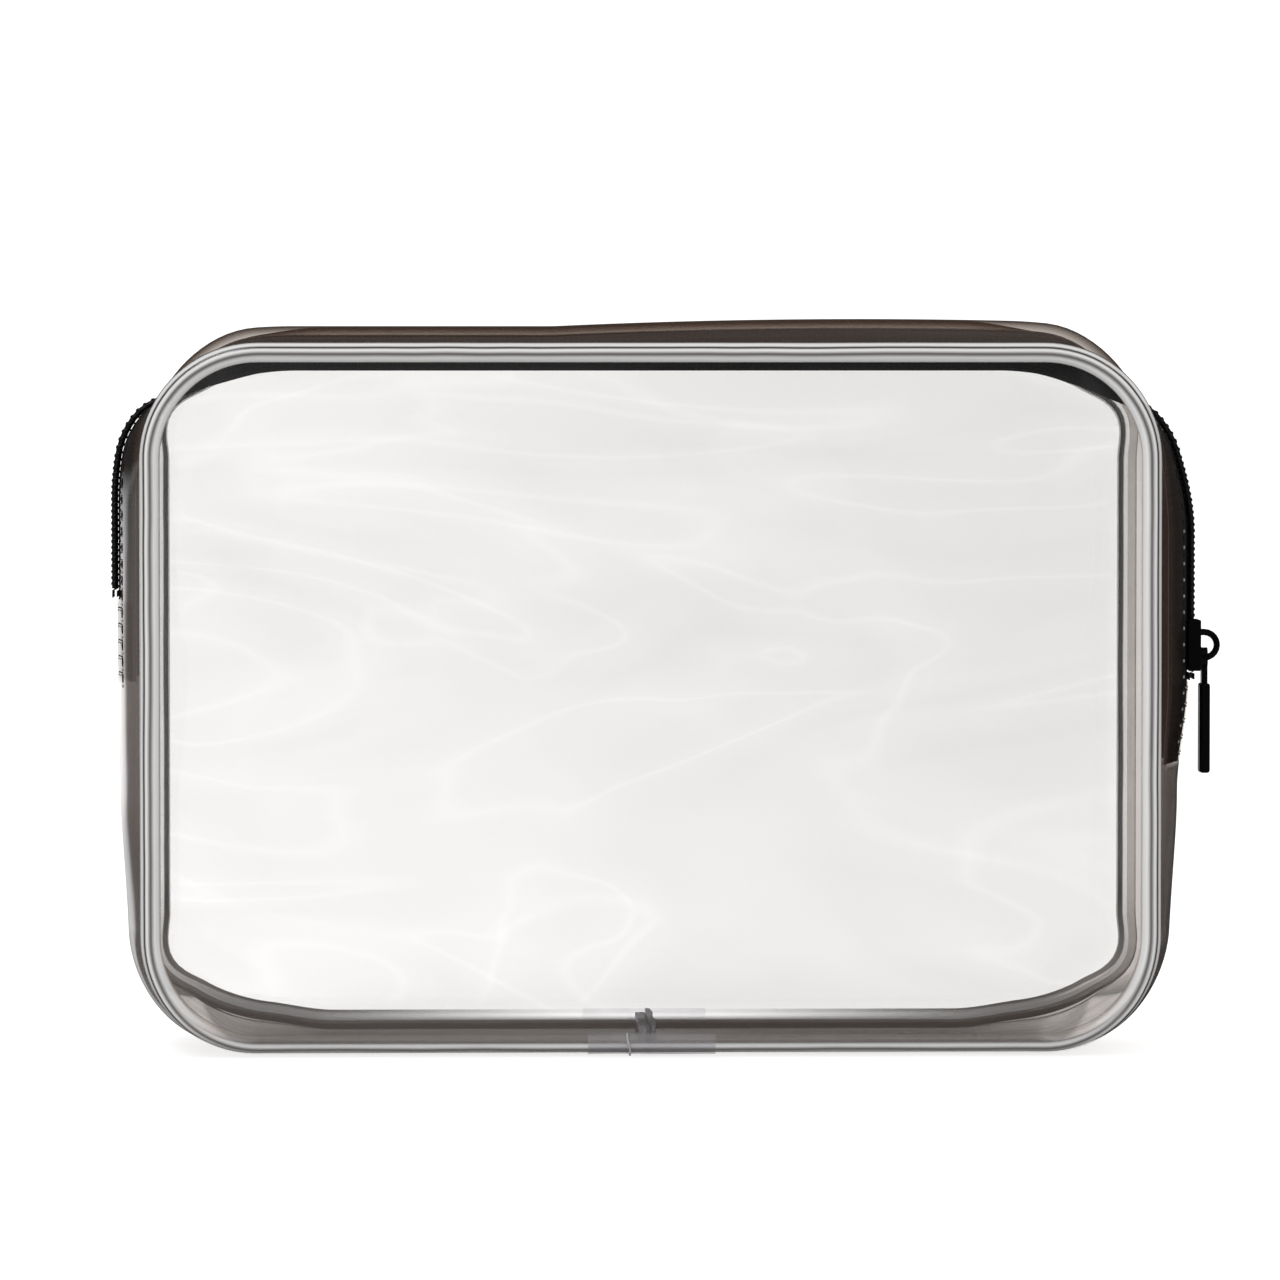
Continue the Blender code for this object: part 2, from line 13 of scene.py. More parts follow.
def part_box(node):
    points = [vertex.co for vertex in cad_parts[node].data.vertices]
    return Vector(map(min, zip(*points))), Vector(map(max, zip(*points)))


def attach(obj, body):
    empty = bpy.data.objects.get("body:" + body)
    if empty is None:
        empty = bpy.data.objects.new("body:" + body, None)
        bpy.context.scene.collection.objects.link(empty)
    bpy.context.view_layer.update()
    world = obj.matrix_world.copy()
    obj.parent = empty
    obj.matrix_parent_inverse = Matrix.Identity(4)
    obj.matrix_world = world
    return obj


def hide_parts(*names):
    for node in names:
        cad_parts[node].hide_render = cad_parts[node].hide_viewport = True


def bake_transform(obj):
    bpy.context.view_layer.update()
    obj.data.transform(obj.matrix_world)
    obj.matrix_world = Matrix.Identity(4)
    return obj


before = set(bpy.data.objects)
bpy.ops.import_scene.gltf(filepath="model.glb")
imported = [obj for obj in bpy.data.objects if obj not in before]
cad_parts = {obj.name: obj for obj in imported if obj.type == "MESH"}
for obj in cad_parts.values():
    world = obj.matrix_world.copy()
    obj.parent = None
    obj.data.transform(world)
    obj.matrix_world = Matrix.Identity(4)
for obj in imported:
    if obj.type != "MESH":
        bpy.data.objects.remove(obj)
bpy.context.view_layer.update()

# Camera, fitted to the photograph
CAMERA_PLACE = (-0.0415, -1.549, 0.1405)
CAMERA_AIM = (-0.00225, -0.028, 0.08175)
CAMERA_LENS = 219.0  # millimetres
CAMERA_SENSOR = 36.0  # millimetres

# Bag
BAG_WIDTH = 0.200  # across the outside of the piping
BAG_HEIGHT = 0.140  # floor to the top of the piping
BAG_DEPTH = 0.060  # across the outside of the two pipings
CORNER_RADIUS = 0.021  # of the seam line, which is the piping's centre line
SHEET = 0.0005  # thickness
CLEARANCE = 0.0003  # between pieces that lie against each other
PIPING_RADIUS = 0.0020
PANEL_INSET = 0.0012  # from the seam line to a panel's edge: less than the solid's
WRAP_WALL = 0.0003
WRAP_LENGTH = 0.025
WRAP_OPENING = radians(25)  # from panel and band to the wrap's edges
RIGHT_BULGE = 0.0099  # outwards, along the zip
LEFT_BULGE = 0.0074
LOWER_RIGHT_BULGE = 0.0077  # outwards, below the zip: fuller than the solid's
LOWER_LEFT_BULGE = 0.0068  # the same on the left side
TUCK = 0.0014  # of the side bulges inwards, down to the lower corners
TUCK_START = 0.050  # height
TUCK_END = 0.022
SHOULDER_FADE = 0.044  # height over which the side bulges die out
LEFT_SHOULDER = 0.012  # from the fold to where the left bulge starts to die out
RIGHT_SHOULDER = 0.005  # the same on the right, where the solid's starts at the fold
RIGHT_FADE = 0.022  # height below the slot over which the bulge settles
LEFT_FADE = 0.050
ZIP_SAG = 0.0035  # of the zip below the seam, along the top
TOP_HUMP = 0.0051  # of the band above the seam, either side of the zip: lower than the solid's
TOP_LIFT = 0.0014  # of the hump, where it is highest
LIFT_PLACE = 0.041  # from the middle of the bag to there
LIFT_SPREAD = 0.060
CORNER_DIP = 0.0020  # of the zip inwards, as it rounds the top corners
DIP_START = 0.20  # shares of a corner's turn, from the side: where the dip starts,
DIP_FULL = 0.45  # is deepest,
DIP_FADE = 0.60  # starts to fade
DIP_END = 1.20  # and ends, a little along the top
BASE_EDGE = 0.005  # from the seam in to the flat of the base

# Zip and mouth
TAPE = 0.0005  # thickness
TAPE_WIDTH = 0.015  # of one half
TAPE_TAIL = 0.016  # past each end of the slot
COIL_RADIUS = 0.0008
COIL_GAP = 0.0008  # from the middle of the zip to a coil or a tape
SLOT_HALF_WIDTH = 0.0061
FOLD = 0.097  # height of the mouth's hinge, and below it heights of the zip's ends
RIGHT_SLOT_END = 0.0724
LEFT_SLOT_END = 0.0890
RIGHT_TACK_TOP = 0.0742
LEFT_TACK_TOP = 0.0908

# Soft shapes of the band and the seams
STEP = 0.0016  # length of a mesh cell
FINE_STEP = 0.0008  # the same for finer shapes
SIDE_POWER = 1.5  # of the side bulges: 2 is round and 1 is a tent
LOWER_POWER = 1.2  # how the side bulges die away round the lower corners
UPPER_POWER = 2.0  # the same round the upper ones
CREASE_DEPTH = 0.0040  # of the band's rear half, inwards at the lower corners
CREASE_TURN = 0.5  # place in the corner's turn, as its sine squared
CREASE_SLANT = 0.22  # from front to back
CREASE_SPREAD = 0.45
CREASE_PLACE = 0.50  # share of the band's half depth, to the rear
CREASE_REACH = 0.42
SLACK_BELOW = 0.050  # height under which the band is slack
SLACK = 0.0010
SLACK_ALONG = 45  # waves in a metre
SLACK_ACROSS = 60
DRAW_IN = 0.0022  # of the rear seam, where a corner leaves the base or the top
DRAW_TURN = 0.18  # of the corner's turn, from there to the side
DRAW_REACH = 0.020  # along the seam, either way
PUSH_OUT = 0.0014  # of the rear seam, where a corner nears the side
PUSH_TURN = 0.74
PUSH_REACH = 0.009

# Soft shapes of the panels
PINCH_FADE = 0.025  # from the rear seam into the rear panel
RIPPLE = 0.0014
RIPPLE_FADE = 0.025  # from a panel's edge in to where its ripples are full
RIPPLE_LOW = 0.35  # share of the ripples at the bottom of a panel
RIPPLE_WAVES = (14, 34)  # in a metre, across a panel and up it
RIPPLE_APART = 7.3  # half the way in the noise between the two panels
FINE_RIPPLE = 0.45  # share of the finer ripples, which run aslant
FINE_ACROSS = (33, 18)  # their waves in a metre of width and of height
FINE_UP = (-9, 52)  # the same along the noise's last axis
FINE_APART = 3.1
CHORD_CREASE = 0.0012  # of the rear panel, across its lower corners
CHORD_PLACE = 0.018
CHORD_WIDTH = 0.007
CHORD_FADE = 0.005  # from the panel's edge
WELD_LINE = 0.8  # strength of the bright line inside the rear bead
WELD_WIDTH = 0.0016
WELD_FADE = 0.0008
WELD_HALO = 0.2
HALO_WIDTH = 0.009

# Wrap and fin, where they differ from their solids
WRAP_STEP = 0.001  # length of a mesh cell
WRAP_TURN = 0.15  # radians round the bead, of a mesh cell
WRAP_WAVE = WRAP_WALL / 3
WRAP_WAVES = 90  # in a metre
WRAP_END = -0.0045  # where the front wrap's tape ends
WRAP_RIDGE = WRAP_WALL * 0.8  # radius of the ridge at that end
FIN_GAP = 0.0001  # half the gap between its two leaves
FIN_SPREAD = 0.0009  # of the left leaf, outwards
FIN_STEP = 0.0010  # from the right leaf's top down to the left one's
FIN_FALL = 0.20  # share of its height that it loses towards the rear
FIN_WAVE = 0.0003
FIN_WAVES = 60  # in a metre

# Zip details
THREAD_SIDES = 6  # of a fine tube's mesh, round it
CORD_SIDES = 8  # the same for a thicker one
COIL_PITCH = 0.0012
COIL_WIRE = 0.00034
COIL_CORE = 0.00058  # radius of the cord that the coil is wound on
COIL_STEPS = 12  # points in a turn
COIL_MEET = 0.0001  # half the gap left between the two coils where they mesh
MESH_START = 0.104  # height on the right up to which the slider keeps them apart
MESH_FADE = 0.006
STITCH_PITCH = 0.0032
STITCH_LENGTH = 0.0021
STITCH_RADIUS = 0.00018
STITCH_SHAPE = (0.45, 0.9, 1.0, 0.9, 0.45)  # shares of the radius, along the stitch
STITCH_MARGIN = 0.0016
STITCH_START = 0.0030  # from the zip's middle to the stitches across its ends
PUCKER_LENGTH = 0.0007
PUCKER_RADIUS = 0.00020
PUCKER_SHAPE = (0.3, 0.9, 1.0, 0.9, 0.3)
PUCKER_TOP = 0.100  # height up to which there are puckers
TACK_THREADS = 5
TACK_STEP = 0.0012  # length of a mesh cell
TACK_SWELL = 1.1  # of each thread, into its neighbours
TAPE_RISE = 0.0048  # from the coil to where the tape lies flat under the band
TAPE_EDGE = 0.0010  # over which the tape's edge shows through the band
TAPE_RIBS = 280.0
EDGE_GLINT = (0.0006, 0.0003)  # from the tape's edge, where its painted glint starts and is full

# Looks of the clear sheets
PURE_WHITE = (1, 1, 1)
PLASTIC_GLARE = 0.04  # share of light reflected, seen square on
PANEL_CLEAREST = (0.959, 0.951, 0.943)
PANEL_HAZIEST = (0.849, 0.841, 0.833)
PANEL_HAZE = (0.36, 0.80)  # from the clearest to the haziest, at the left and at the right
REFLECTION_SWIRLS = 5.0  # painted reflections: pale lines in the whole range of the noise
REFLECTION_PATCH_SHARE = 0.12  # painted reflection, more or less, in patches between the lines
REFLECTION_LINE_SHARE = 0.24  # painted reflection: less, on a pale line
LINE_WIDTH = 0.07  # half of it, where 1 is from one line to the next
WELD_MILK = 0.15  # cover of the milky weld
BAND_TINT = (1, 0.95, 0.91)  # of what shows through the band
BAND_DARKEST = (0.026, 0.011, 0.005)
BAND_LIGHTEST = (0.077, 0.046, 0.032)
BAND_COVER = 0.42  # of the band's cast, seen square on
STREAK_COVER = 0.12  # more or less
TAPED_COVER = 0.15  # share of the cast left over the tape
TAPED_SHINE = 0.4  # share of its glare there, and again where it is sewn down
LEFT_SHOWS = 0.30  # how much of the tape shows through on the left side
RIGHT_REAR_CLEARING = 0.45  # share of the cast lost towards the rear seam, on the right

# Painted highlights and dark reflections as lines along the bead: degrees from its front or rear face
# towards the outside, shade and cover
WHITE = (0.97, 0.97, 0.97)
PALE = (0.64, 0.63, 0.62)
GREY = (0.20, 0.19, 0.19)
BEIGE = (0.50, 0.41, 0.34)
CREAM = (0.66, 0.58, 0.52)
BROWN = (0.065, 0.050, 0.042)
DARK = (0.050, 0.045, 0.043)
BEAD_LIGHT_LINES = (
    (-180, BEIGE, 0.36),
    (-169, BEIGE, 0.36),
    (-161, DARK, 0.95),
    (-131, DARK, 0.95),
    (-121, BEIGE, 0.55),
    (-80, CREAM, 0.85),
    (-66, WHITE, 0.92),
    (-34, WHITE, 0.92),
    (-24, PALE, 0.85),
    (-15, GREY, 0.80),
    (-8, GREY, 0.80),
    (0, PALE, 0.85),
    (8, WHITE, 0.92),
    (14, WHITE, 0.92),
    (19, PALE, 0.85),
    (23, DARK, 0.85),
    (29, DARK, 0.85),
    (35, PALE, 0.85),
    (44, WHITE, 0.90),
    (60, PALE, 0.85),
    (70, BROWN, 0.85),
    (100, BROWN, 0.75),
    (126, BEIGE, 0.36),
    (180, BEIGE, 0.36),
)
LINE_TURN = 8  # degrees that the lines are turned by, on the sides
BASE_TURN = 42  # the same along the base
LINE_WANDER = 0.02  # of a turn, more or less
BEAD_INSIDE = -2  # up to where the front bead is clear, along the base
BEAD_UNDER = 46  # from where it is clear again
BASE_CLEAR = 0.9  # how clear it is there
AWAY_CLEAR = 0.75  # how clear the rear bead is on its far side
REAR_CLEAR = 0.075  # from the middle, how far its upper half is clear
LINE_FADE = 20  # degrees over which the bead turns clear
BEAD_SIDES = 32  # of the bead's mesh, round it
BASE_SHADE = (0.12, 0.105, 0.097)  # of the rear bead along the base
CORNER_SHADE = (0.42, 0.39, 0.365)  # the same at its lower corners
SHADE_COVER = 0.5  # that the shade adds to the lines' own
SHADE_HEIGHT = 0.032

# Light
AMBIENT = 0.85
FLOOR_REACH = 40.0
FLOOR_SHADE = 0.60
FLOOR_GLOW = 0.67
BACKDROP = AMBIENT * FLOOR_SHADE + FLOOR_GLOW  # as bright as the far floor
KEY_PLACE = (-0.5, -0.9, 1.1)
KEY_AIM = (0, 0, 0.07)
KEY_SIZE = 0.6
KEY_POWER = 6

# Room in the reflections: brightness, and where in the direction's X, Y or Z it changes
ROOM_GLOW = 0.05
TABLE_GLOW = 0.45
TABLE_EDGE = (-0.16, 0.04)
PATCH_GLOW = 0.15
PATCH_EDGE = (0.47, 0.53)  # in the noise that spreads the patches
TOP_GLOW = 0.5
TOP_EDGE = (0.5, 0.8)
WINDOW_DIM = 0.28
WINDOW_GLOW = 1.9
WINDOW_SLANT = 2.0  # of the window's left edge: times Z, added to X
WINDOW_LEFT = (-0.58, -0.52)
WINDOW_RIGHT = (-0.26, -0.03)
WINDOW_TOP = (-0.02, 0.02)
SILL_GLOW = 0.45  # share of the window's
SILL_EDGE = (-0.085, -0.05)
BEHIND_EDGE = (-0.05, 0.05)

# Places that follow from the sizes above
SEAM_HALF_WIDTH = BAG_WIDTH / 2 - PIPING_RADIUS
SEAM_BOTTOM = PIPING_RADIUS + CLEARANCE + WRAP_WALL
SEAM_TOP = BAG_HEIGHT - PIPING_RADIUS
PANEL_PLANE = BAG_DEPTH / 2 - PIPING_RADIUS
PANEL_CORNER = CORNER_RADIUS - PANEL_INSET
BAND_HALF_DEPTH = PANEL_PLANE - PIPING_RADIUS - CLEARANCE
HALF_FLAT = SEAM_HALF_WIDTH - CORNER_RADIUS
SIDE_RUN = SEAM_TOP - SEAM_BOTTOM - 2 * CORNER_RADIUS
QUARTER = CORNER_RADIUS * pi / 2
SEAM_PIECES = (
    (HALF_FLAT, False),
    (QUARTER, True),
    (SIDE_RUN, False),
    (QUARTER, True),
    (2 * HALF_FLAT, False),
    (QUARTER, True),
    (SIDE_RUN, False),
    (QUARTER, True),
    (HALF_FLAT, False),
)
SEAM_LENGTH = sum(length for length, turns in SEAM_PIECES)
TAPE_LEVEL = -(SHEET / 2 + CLEARANCE + TAPE / 2)
COIL_LEVEL = TAPE_LEVEL + TAPE / 2 + CLEARANCE + COIL_RADIUS


# Shape of the seams and the band


def seam(s):
    """Place and heading on the seam line, s metres anticlockwise from its bottom middle."""
    s %= SEAM_LENGTH
    x, z, heading = 0.0, SEAM_BOTTOM, 0.0
    for length, turns in SEAM_PIECES:
        step = min(s, length)
        if turns:
            turned = heading + step / CORNER_RADIUS
            x += CORNER_RADIUS * (sin(turned) - sin(heading))
            z += CORNER_RADIUS * (cos(heading) - cos(turned))
            heading = turned
        else:
            x += step * cos(heading)
            z += step * sin(heading)
        s -= step
        if s <= 0:
            break
    return x, z, heading


def on_right(z):
    """How far along the seam line this height is, on the right side."""
    return HALF_FLAT + QUARTER + z - SEAM_BOTTOM - CORNER_RADIUS


def on_left(z):
    """The same on the left side."""
    return SEAM_LENGTH - on_right(z)


SLOT_RIGHT, SLOT_LEFT = on_right(RIGHT_SLOT_END), on_left(LEFT_SLOT_END)
TAPE_RIGHT, TAPE_LEFT = on_right(RIGHT_SLOT_END - TAPE_TAIL), on_left(LEFT_SLOT_END - TAPE_TAIL)


def smooth(share):
    """The share held to 0..1, and eased at both ends."""
    share = min(1.0, max(0.0, share))
    return share * share * (3 - 2 * share)


def hill(distance, reach):
    """1 at no distance, falling smoothly to 0 at the reach."""
    share = min(1.0, abs(distance) / reach)
    return (1 - share * share) ** 2


def wave(*place):
    """Smooth noise, either side of 0."""
    return noise.noise(Vector(place))


def spread(low, high, step):
    """Evenly spaced numbers from low to high, about a step apart."""
    count = max(1, round(abs(high - low) / step))
    return [low + (high - low) * i / count for i in range(count + 1)]


def corner_dip(s):
    """How far the middle of the band dips inwards as it rounds a top corner."""
    s %= SEAM_LENGTH
    turned = (min(s, SEAM_LENGTH - s) - HALF_FLAT - QUARTER - SIDE_RUN) / QUARTER
    entered = smooth((turned - DIP_START) / (DIP_FULL - DIP_START))
    left = smooth((turned - DIP_FADE) / (DIP_END - DIP_FADE))
    return CORNER_DIP * entered * (1 - left)


def bulge(s, y):
    """How far the band stands out from the seam line, at this distance from its middle."""
    x, z, heading = seam(s)
    share = y / BAND_HALF_DEPTH
    crown = 1 - share * share
    tent = 1 - abs(share) ** SIDE_POWER
    outwards, upwards = sin(heading), -cos(heading)
    if x > 0:
        full, low, end, fade = RIGHT_BULGE, LOWER_RIGHT_BULGE, RIGHT_SLOT_END, RIGHT_FADE
        shoulder = FOLD + RIGHT_SHOULDER
    else:
        full, low, end, fade = LEFT_BULGE, LOWER_LEFT_BULGE, LEFT_SLOT_END, LEFT_FADE
        shoulder = FOLD + LEFT_SHOULDER
    side = low + (full - low) * smooth((z - end) / fade + 1)
    side -= TUCK * smooth((TUCK_START - z) / (TUCK_START - TUCK_END))
    side *= 1 - smooth((z - shoulder) / SHOULDER_FADE)
    hump = TOP_HUMP + TOP_LIFT * max(0.0, 1 - ((x - LIFT_PLACE) / LIFT_SPREAD) ** 2)
    rise = ZIP_SAG + 2 * hump + 2 * sqrt(hump * (ZIP_SAG + hump))
    top = rise * share * share - ZIP_SAG
    base = (SEAM_BOTTOM - SHEET / 2) * smooth((BAND_HALF_DEPTH - abs(y)) / BASE_EDGE)
    power = LOWER_POWER if z < BAG_HEIGHT / 2 else UPPER_POWER
    out = abs(outwards) ** power * side * tent + (max(0.0, upwards) ** 2 * top - corner_dip(s)) * crown
    return out + max(0.0, -upwards) ** 2 * base


def slack(s, y):
    """How far the band strays from its plain shape, by creases at the lower corners and by waves."""
    z, heading = seam(s)[1:]
    if z > SLACK_BELOW:
        return 0.0
    share = y / BAND_HALF_DEPTH
    crown = 1 - share * share
    aside = abs(sin(heading) ** 2 - CREASE_TURN + CREASE_SLANT * share) / CREASE_SPREAD
    behind = abs(share - CREASE_PLACE) / CREASE_REACH
    crease = CREASE_DEPTH * max(0.0, 1 - max(aside, behind))
    loose = SLACK * smooth(1 - z / SLACK_BELOW) * wave(s * SLACK_ALONG, y * SLACK_ACROSS, 0)
    return abs(sin(heading)) * loose * crown - crease


def pinch(s, y):
    """How far the rear seam is drawn in at the corners or, below zero, pushed out."""
    s %= SEAM_LENGTH
    run = min(s, SEAM_LENGTH - s)
    high = HALF_FLAT + QUARTER + SIDE_RUN
    from_flat = run - HALF_FLAT if run < high else high + QUARTER - run
    drawn = DRAW_IN * hill(from_flat - QUARTER * DRAW_TURN, DRAW_REACH)
    pushed = PUSH_OUT * hill(from_flat - QUARTER * PUSH_TURN, PUSH_REACH)
    return (drawn - pushed) * smooth(y / PANEL_PLANE)


def beside_seam(s, y, out):
    """A point at depth y, this far out from the seam line."""
    x, z, heading = seam(s)
    out -= pinch(s, y)
    return Vector((x + out * sin(heading), y, z - out * cos(heading)))


def band_middle(s, y):
    """A point on the middle of the band's sheet."""
    return beside_seam(s, y, bulge(s, y) + slack(s, y))


def out_of_band(s, y):
    """The direction square to the band's sheet, outwards."""
    near = CLEARANCE
    along = band_middle(s + near, y) - band_middle(s - near, y)
    across = band_middle(s, y + near) - band_middle(s, y - near)
    return across.cross(along).normalized()


def band(s, y, level=0.0):
    """A point this far out from the middle of the band's sheet, square to it."""
    return band_middle(s, y) + out_of_band(s, y) * level


# Meshes


class Skin:
    """The points and faces of one mesh, put together from several shapes."""

    def __init__(self):
        self.places = []
        self.faces = []
        self.flat = []

    def grid(self, rows, flat, closed=False):
        """A surface over rows of points. flat gives a row and column's place on the flat sheet."""
        start, columns = len(self.places), len(rows[0])
        for row in rows:
            self.places.extend(row)
        for r in range(len(rows) - 1):
            for c in range(columns if closed else columns - 1):
                corners = ((r, c), (r, c + 1), (r + 1, c + 1), (r + 1, c))
                self.faces.append([start + i * columns + j % columns for i, j in corners])
                self.flat.extend(flat(i, j) for i, j in corners)

    def loft(self, rings, run):
        """A closed solid through rings of points. run gives each ring's distance along it."""
        start, sides = len(self.places), len(rings[0])
        self.grid(rings, lambda r, c: (run[r], c / sides), closed=True)
        end = len(self.places)
        self.faces.append(list(reversed(range(start, start + sides))))
        self.faces.append(list(range(end - sides, end)))
        self.flat.extend([(run[0], 0)] * sides + [(run[-1], 0)] * sides)

    def tube(self, points, radii, sides):
        """A round solid through points, with a radius at each."""
        rings = []
        run = []
        normal = Vector((0.31, 0.83, 0.46))  # any that no tube starts along
        for i, point in enumerate(points):
            ahead = points[min(i + 1, len(points) - 1)] - points[max(i - 1, 0)]
            normal = (normal - ahead * (normal.dot(ahead) / ahead.length_squared)).normalized()
            other = ahead.normalized().cross(normal)
            angles = [2 * pi * k / sides for k in range(sides)]
            rings.append([point + (normal * cos(a) + other * sin(a)) * radii[i] for a in angles])
            run.append(run[-1] + (point - points[i - 1]).length if i else 0.0)
        self.loft(rings, run)

    def piece(self, name, look, slot):
        """The mesh as a piece of the scene, with its look. The slot is not used."""
        data = bpy.data.meshes.new(name)
        data.from_pydata(self.places, [], self.faces)
        data.shade_smooth()
        data.materials.append(look)
        layer = data.uv_layers.new(name="flat")
        for corner, place in zip(layer.data, self.flat):
            corner.uv = place
        made = bpy.data.objects.new(name, data)
        bpy.context.scene.collection.objects.link(made)
        return made


def paint(piece, name, values):
    """Keeps a value at each point of the piece's mesh, for its look."""
    piece.data.attributes.new(name, "FLOAT", "POINT").data.foreach_set("value", values)


def on_bag(piece, *nodes):
    """The piece stays with the bag and stands for these nodes."""
    if nodes:
        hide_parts(*nodes)
    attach(piece, "bag")


def on_mouth(piece, *nodes):
    """Hides these nodes and bakes the piece's place into its mesh."""
    if nodes:
        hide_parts(*nodes)
    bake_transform(piece)


# Looks


class Nodes:
    """Nodes being put together in one tree."""

    def __init__(self, tree):
        self.tree = tree

    def add(self, kind, **sockets):
        """A new node. What feeds each socket is given under its name, with _ for a space."""
        node = self.tree.nodes.new("ShaderNode" + kind)
        for name, value in sockets.items():
            self.feed(node.inputs[name.replace("_", " ")], value)
        return node

    def feed(self, socket, value):
        """Links another node's output to a socket, or sets the socket to a number, colour or vector."""
        if isinstance(value, bpy.types.NodeSocket):
            self.tree.links.new(value, socket)
        elif socket.type == "RGBA":
            socket.default_value = (*value, 1)
        else:
            socket.default_value = value

    def math(self, operation, *values):
        node = self.add("Math")
        node.operation = operation
        for socket, value in zip(node.inputs, values):
            self.feed(socket, value)
        return node.outputs[0]

    def plus(self, first, second):
        return self.math("ADD", first, second)

    def times(self, first, second):
        return self.math("MULTIPLY", first, second)

    def scaled(self, value, low, high, start=0.0, end=1.0):
        """The value, carried from start..end to low..high and no further."""
        limits = {"From_Min": start, "From_Max": end, "To_Min": low, "To_Max": high}
        return self.add("MapRange", Value=value, **limits).outputs["Result"]

    def tint(self, value, low, high):
        """A colour between two, by a value from 0 to 1."""
        return self.shades(value, ((0, low, 1), (1, high, 1))).outputs["Color"]

    def shades(self, value, stops):
        """A ramp through stops, from 0 to 1: place, colour, and cover for its alpha."""
        node = self.add("ValToRGB", Fac=value)
        elements = node.color_ramp.elements
        for element, (place, colour, cover) in zip(elements, (stops[0], stops[-1])):
            element.position = place
            element.color = (*colour, cover)
        for place, colour, cover in stops[1:-1]:
            elements.new(place).color = (*colour, cover)
        return node

    def blended(self, share, first, second, way="MIX"):
        """A colour between two colours, or the second laid over the first in another way."""
        node = self.add("Mix")
        node.data_type = "RGBA"
        node.blend_type = way
        sockets = [socket for socket in node.inputs if socket.enabled]
        for socket, value in zip(sockets, (share, first, second)):
            self.feed(socket, value)
        return next(socket for socket in node.outputs if socket.enabled)

    def mix(self, share, first, second):
        """A shader between two shaders."""
        node = self.add("MixShader")
        for socket, value in zip(node.inputs, (share, first.outputs[0], second.outputs[0])):
            self.feed(socket, value)
        return node

    def place(self, space):
        """X, Y and Z of the place in a texture space. On a flat sheet, UV runs along it and across it."""
        texture = self.add("TexCoord")
        return self.add("SeparateXYZ", Vector=texture.outputs[space]).outputs

    def painted(self, name):
        """The value kept on the mesh under this name, or 0."""
        node = self.add("Attribute")
        node.attribute_name = name
        return node.outputs["Fac"]

    def noise(self, scale, detail=2.0, stretch=(1, 1, 1), space="Object", warp=0.0):
        """Noise in a texture space. stretch crowds it along each axis."""
        place = self.add("TexCoord").outputs[space]
        crowd = self.add("Mapping", Vector=place, Scale=stretch).outputs["Vector"]
        texture = self.add("TexNoise", Vector=crowd, Scale=scale, Detail=detail, Distortion=warp)
        return texture.outputs[0]

    def ribs(self, direction, scale):
        """Fine ridges on the flat sheet, along X or Y."""
        place = self.add("TexCoord").outputs["UV"]
        texture = self.add("TexWave", Vector=place, Scale=scale)
        texture.bands_direction = direction
        return texture.outputs["Fac"]

    def facing(self):
        """0 where the surface is seen square on, 1 where it is seen edge on."""
        return self.add("LayerWeight", Blend=0.5).outputs["Facing"]

    def glare(self):
        """How much a smooth face of plastic reflects, the same from either side."""
        return self.scaled(self.math("POWER", self.facing(), 5.0), PLASTIC_GLARE, 1.0)

    def bump(self, height, strength, distance):
        """The normal of a surface with this height on it."""
        node = self.add("Bump", Height=height, Strength=strength, Distance=distance)
        return node.outputs["Normal"]

    def gloss(self, roughness, normal):
        """Reflections off a smooth sheet."""
        return self.add("BsdfAnisotropic", Color=PURE_WHITE, Roughness=roughness, Normal=normal)

    def seen(self):
        """1 for what the camera sees, also through clear pieces, and 0 for other light."""
        path = self.add("LightPath").outputs
        return self.math("MAXIMUM", path["Is Camera Ray"], path["Is Transmission Ray"])

    def mirrored(self):
        """1 for what reflections see, and 0 for other light."""
        return self.add("LightPath").outputs["Is Glossy Ray"]


class Look(Nodes):
    """A material being put together from nodes."""

    def __init__(self, name):
        self.material = bpy.data.materials.new(name)
        self.material.use_nodes = True
        super().__init__(self.material.node_tree)
        self.tree.nodes.clear()

    def finish(self, shader):
        """The material, with this shader on its surface."""
        self.add("OutputMaterial", Surface=shader.outputs[0])
        return self.material

    def solid(self, **sockets):
        """The material as one plain surface, with its sockets as add takes them."""
        return self.finish(self.add("BsdfPrincipled", **sockets))


def panel_look():
    """Clear film: a thin sheet's gloss over what is behind it, clearer along its welded edge.

    It is a little greyer towards the right, and painted reflections run over it: patches, and swirls of
    pale lines.
    """
    look = Look("clear_panel_film")
    weld = look.painted("weld")
    aside = look.scaled(look.place("Object")["X"], *PANEL_HAZE, -HALF_FLAT, HALF_FLAT)
    # Painted reflections: patches and swirls of pale lines, by noise over the film.
    reflection_swirl = look.times(look.noise(9.0, detail=1.5, stretch=(0.7, 1, 2.2), warp=1.4), REFLECTION_SWIRLS)
    within = look.math("PINGPONG", reflection_swirl, 0.5)
    reflection_patch = look.scaled(within, -REFLECTION_PATCH_SHARE, REFLECTION_PATCH_SHARE, end=0.5)
    line = look.scaled(within, -REFLECTION_LINE_SHARE, 0.0, end=LINE_WIDTH)
    tone_and_reflection = look.plus(aside, look.plus(reflection_patch, line))
    film_tone = look.tint(tone_and_reflection, PANEL_CLEAREST, PANEL_HAZIEST)
    through = look.add("BsdfTransparent", Color=look.blended(weld, film_tone, PURE_WHITE))
    milk = look.add("BsdfDiffuse", Color=(0.95, 0.95, 0.95))
    film = look.mix(look.times(weld, WELD_MILK), through, milk)
    gloss = look.gloss(0.03, look.bump(look.noise(90.0), strength=0.04, distance=0.0005))
    glare = look.glare()
    both_faces = look.math("DIVIDE", look.times(glare, 2.0), look.plus(glare, 1.0))
    return look.finish(look.mix(both_faces, film, gloss))


